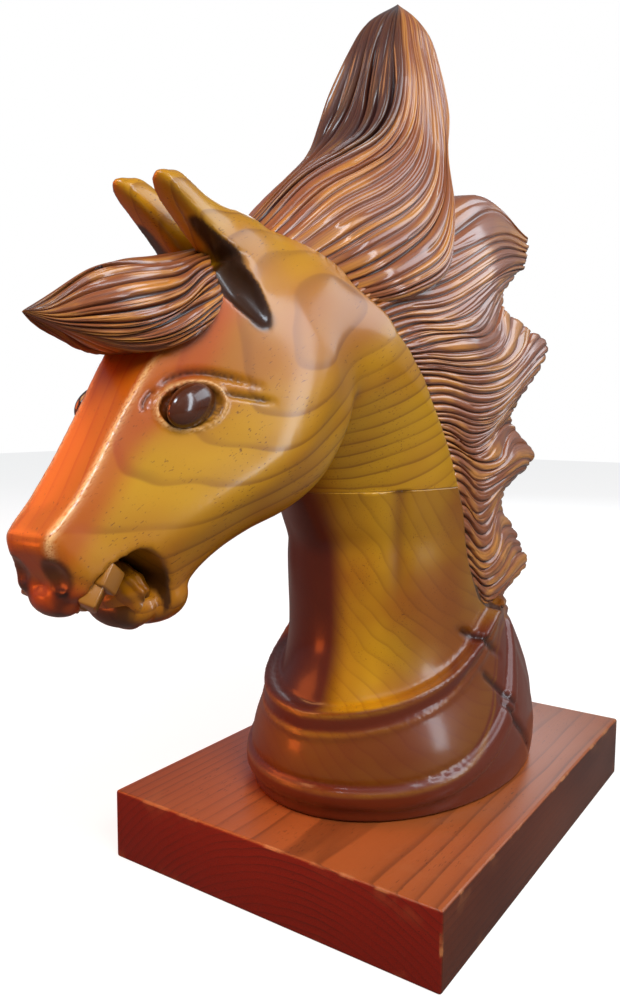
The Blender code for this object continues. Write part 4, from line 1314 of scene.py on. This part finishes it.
# Each lamp's place, target, size, power and colour, whether the varnish mirrors it and whether it gives light
LAMPS = {
    "key": ((1.1, -0.8, 1.5), FIGURE_MIDDLE, (1.1, 1.1), 42, (1.0, 0.97, 0.92), False, True),
    "key glint": ((1.1, -0.8, 1.5), FIGURE_MIDDLE, (0.3, 0.3), 2, (0.9, 0.96, 1.0), True, True),
    "sky": ((0.95, 0.95, 1.1), FIGURE_MIDDLE, (1.2, 0.8), 9, (0.78, 0.9, 1.0), True, True),
    "front window": ((0, -0.95, 1.45), (0, -0.05, 0.4), (0.45, 0.3), 9, (0.75, 0.88, 1.0), True, False),
    "doorway": ((1.25, 0.12, 0.92), FIGURE_MIDDLE, (0.25, 1.8), 14, (0.78, 0.9, 1.0), True, False),
    "sky sheen": ((0.95, 0.95, 1.1), FIGURE_MIDDLE, (0.6, 0.5), 4.5, (0.78, 0.9, 1.0), True, False),
    "back window": ((-0.7, 1.6, 0.9), (0, 0, 0.05), (1.1, 0.7), 7, (0.85, 0.93, 1.0), True, True),
    "high window": ((-0.68, -0.62, 1.4), (0, -0.05, 0.4), (0.8, 0.35), 6, (1.0, 0.45, 0.16), True, True),
    "red wall": ((-0.9, -0.67, 0.7), FIGURE_MIDDLE, (0.8, 0.5), 7, (1.0, 0.18, 0.03), True, True),
    "low sun": ((-0.9, -1.2, 0.1), (0, -0.25, 0.2), (0.4, 0.3), 4, (1.0, 0.15, 0.02), True, True)}


def camera():
    yaw = math.radians(CAMERA_YAW)
    pitch = math.radians(CAMERA_PITCH)
    roll = math.radians(CAMERA_ROLL)
    back = Vector((math.sin(yaw) * math.cos(pitch), -math.cos(yaw) * math.cos(pitch), math.sin(pitch)))
    right = (-back).cross(Vector((0, 0, 1))).normalized()
    down = (-back).cross(right)
    c = math.cos(roll)
    s = math.sin(roll)
    right, down = c * right + s * down, -s * right + c * down
    data = bpy.data.cameras.new("camera")
    data.lens = CAMERA_LENS
    data.sensor_width = 36
    data.clip_start = 0.01
    view = bpy.data.objects.new("camera", data)
    bpy.context.scene.collection.objects.link(view)
    view.matrix_world = Matrix((right, -down, back)).transposed().to_4x4()
    view.matrix_world.translation = CAMERA_PLACE
    bpy.context.scene.camera = view


def soft_box(name, place, target, size, power, colour, mirrored, lighting):
    data = bpy.data.lights.new(name, "AREA")
    data.shape = "RECTANGLE"
    data.size, data.size_y = size
    data.energy = power
    data.color = colour
    lamp = bpy.data.objects.new(name, data)
    bpy.context.scene.collection.objects.link(lamp)
    aim = Vector(target) - Vector(place)
    lamp.rotation_euler = aim.to_track_quat("-Z", "Y").to_euler()
    lamp.location = place
    lamp.visible_glossy = mirrored
    lamp.visible_diffuse = lighting


def studio():
    """A plain pale floor and room, and the lamps."""
    bpy.ops.object.select_all(action="DESELECT")
    bpy.ops.mesh.primitive_plane_add(size=8, location=(0, 0, 0))
    floor = bpy.context.object
    floor.name = "floor"
    material, tree, shader = finish("pale floor", Roughness=0.9)
    ray = add(tree, "ShaderNodeLightPath").outputs["Is Camera Ray"]
    colour = mix_colour(tree, ray, (0.16, 0.14, 0.13, 1), (0.3, 0.3, 0.3, 1))
    tree.links.new(colour, shader.inputs["Base Color"])
    shader.inputs["Emission Color"].default_value = (1, 1, 1, 1)
    tree.links.new(maths(tree, "MULTIPLY", ray, 0.8), shader.inputs["Emission Strength"])
    floor.data.materials.append(material)
    world = bpy.data.worlds.new("pale room")
    world.use_nodes = True
    seen = world.node_tree.nodes["Background"]
    seen.inputs["Color"].default_value = (1, 1, 1, 1)
    lit = add(world.node_tree, "ShaderNodeBackground", {"Color": (0.8, 0.9, 1.0, 1), "Strength": 0.2})
    ray = add(world.node_tree, "ShaderNodeLightPath").outputs["Is Camera Ray"]
    both = add(world.node_tree, "ShaderNodeMixShader", {0: ray, 1: lit.outputs[0], 2: seen.outputs[0]})
    world.node_tree.links.new(both.outputs[0], world.node_tree.nodes["World Output"].inputs["Surface"])
    bpy.context.scene.world = world
    for name, settings in LAMPS.items():
        soft_box(name, *settings)


def build():
    head_piece, neck_piece = part_at_seam(carved_body())
    pine = varnished_pine("varnished pine head", (0.09, -0.1, 0.34), (-62, 0, 0), 44, 0.62)
    neck_pine = varnished_pine("varnished pine neck", (0.16, 0.08, 0.31), (90, 0, 34), 44, 0.4)
    hair = stained_hair()
    for piece, material in ((head_piece, pine), (neck_piece, neck_pine)):
        smooth_faces(piece)
        dress(piece, material)
    for piece in (mane(), spire(), forelock()):
        smooth_faces(piece)
        dress(piece, hair)
    dress(eyes(), dark_eye())
    dress(teeth(), tooth_wood())
    dress(tongue(), pine)
    base = block()
    dress(base, mahogany_block())
    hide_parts("horse_head")
    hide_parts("base")


bpy.context.scene.view_settings.view_transform = "Standard"
build()
camera()
studio()
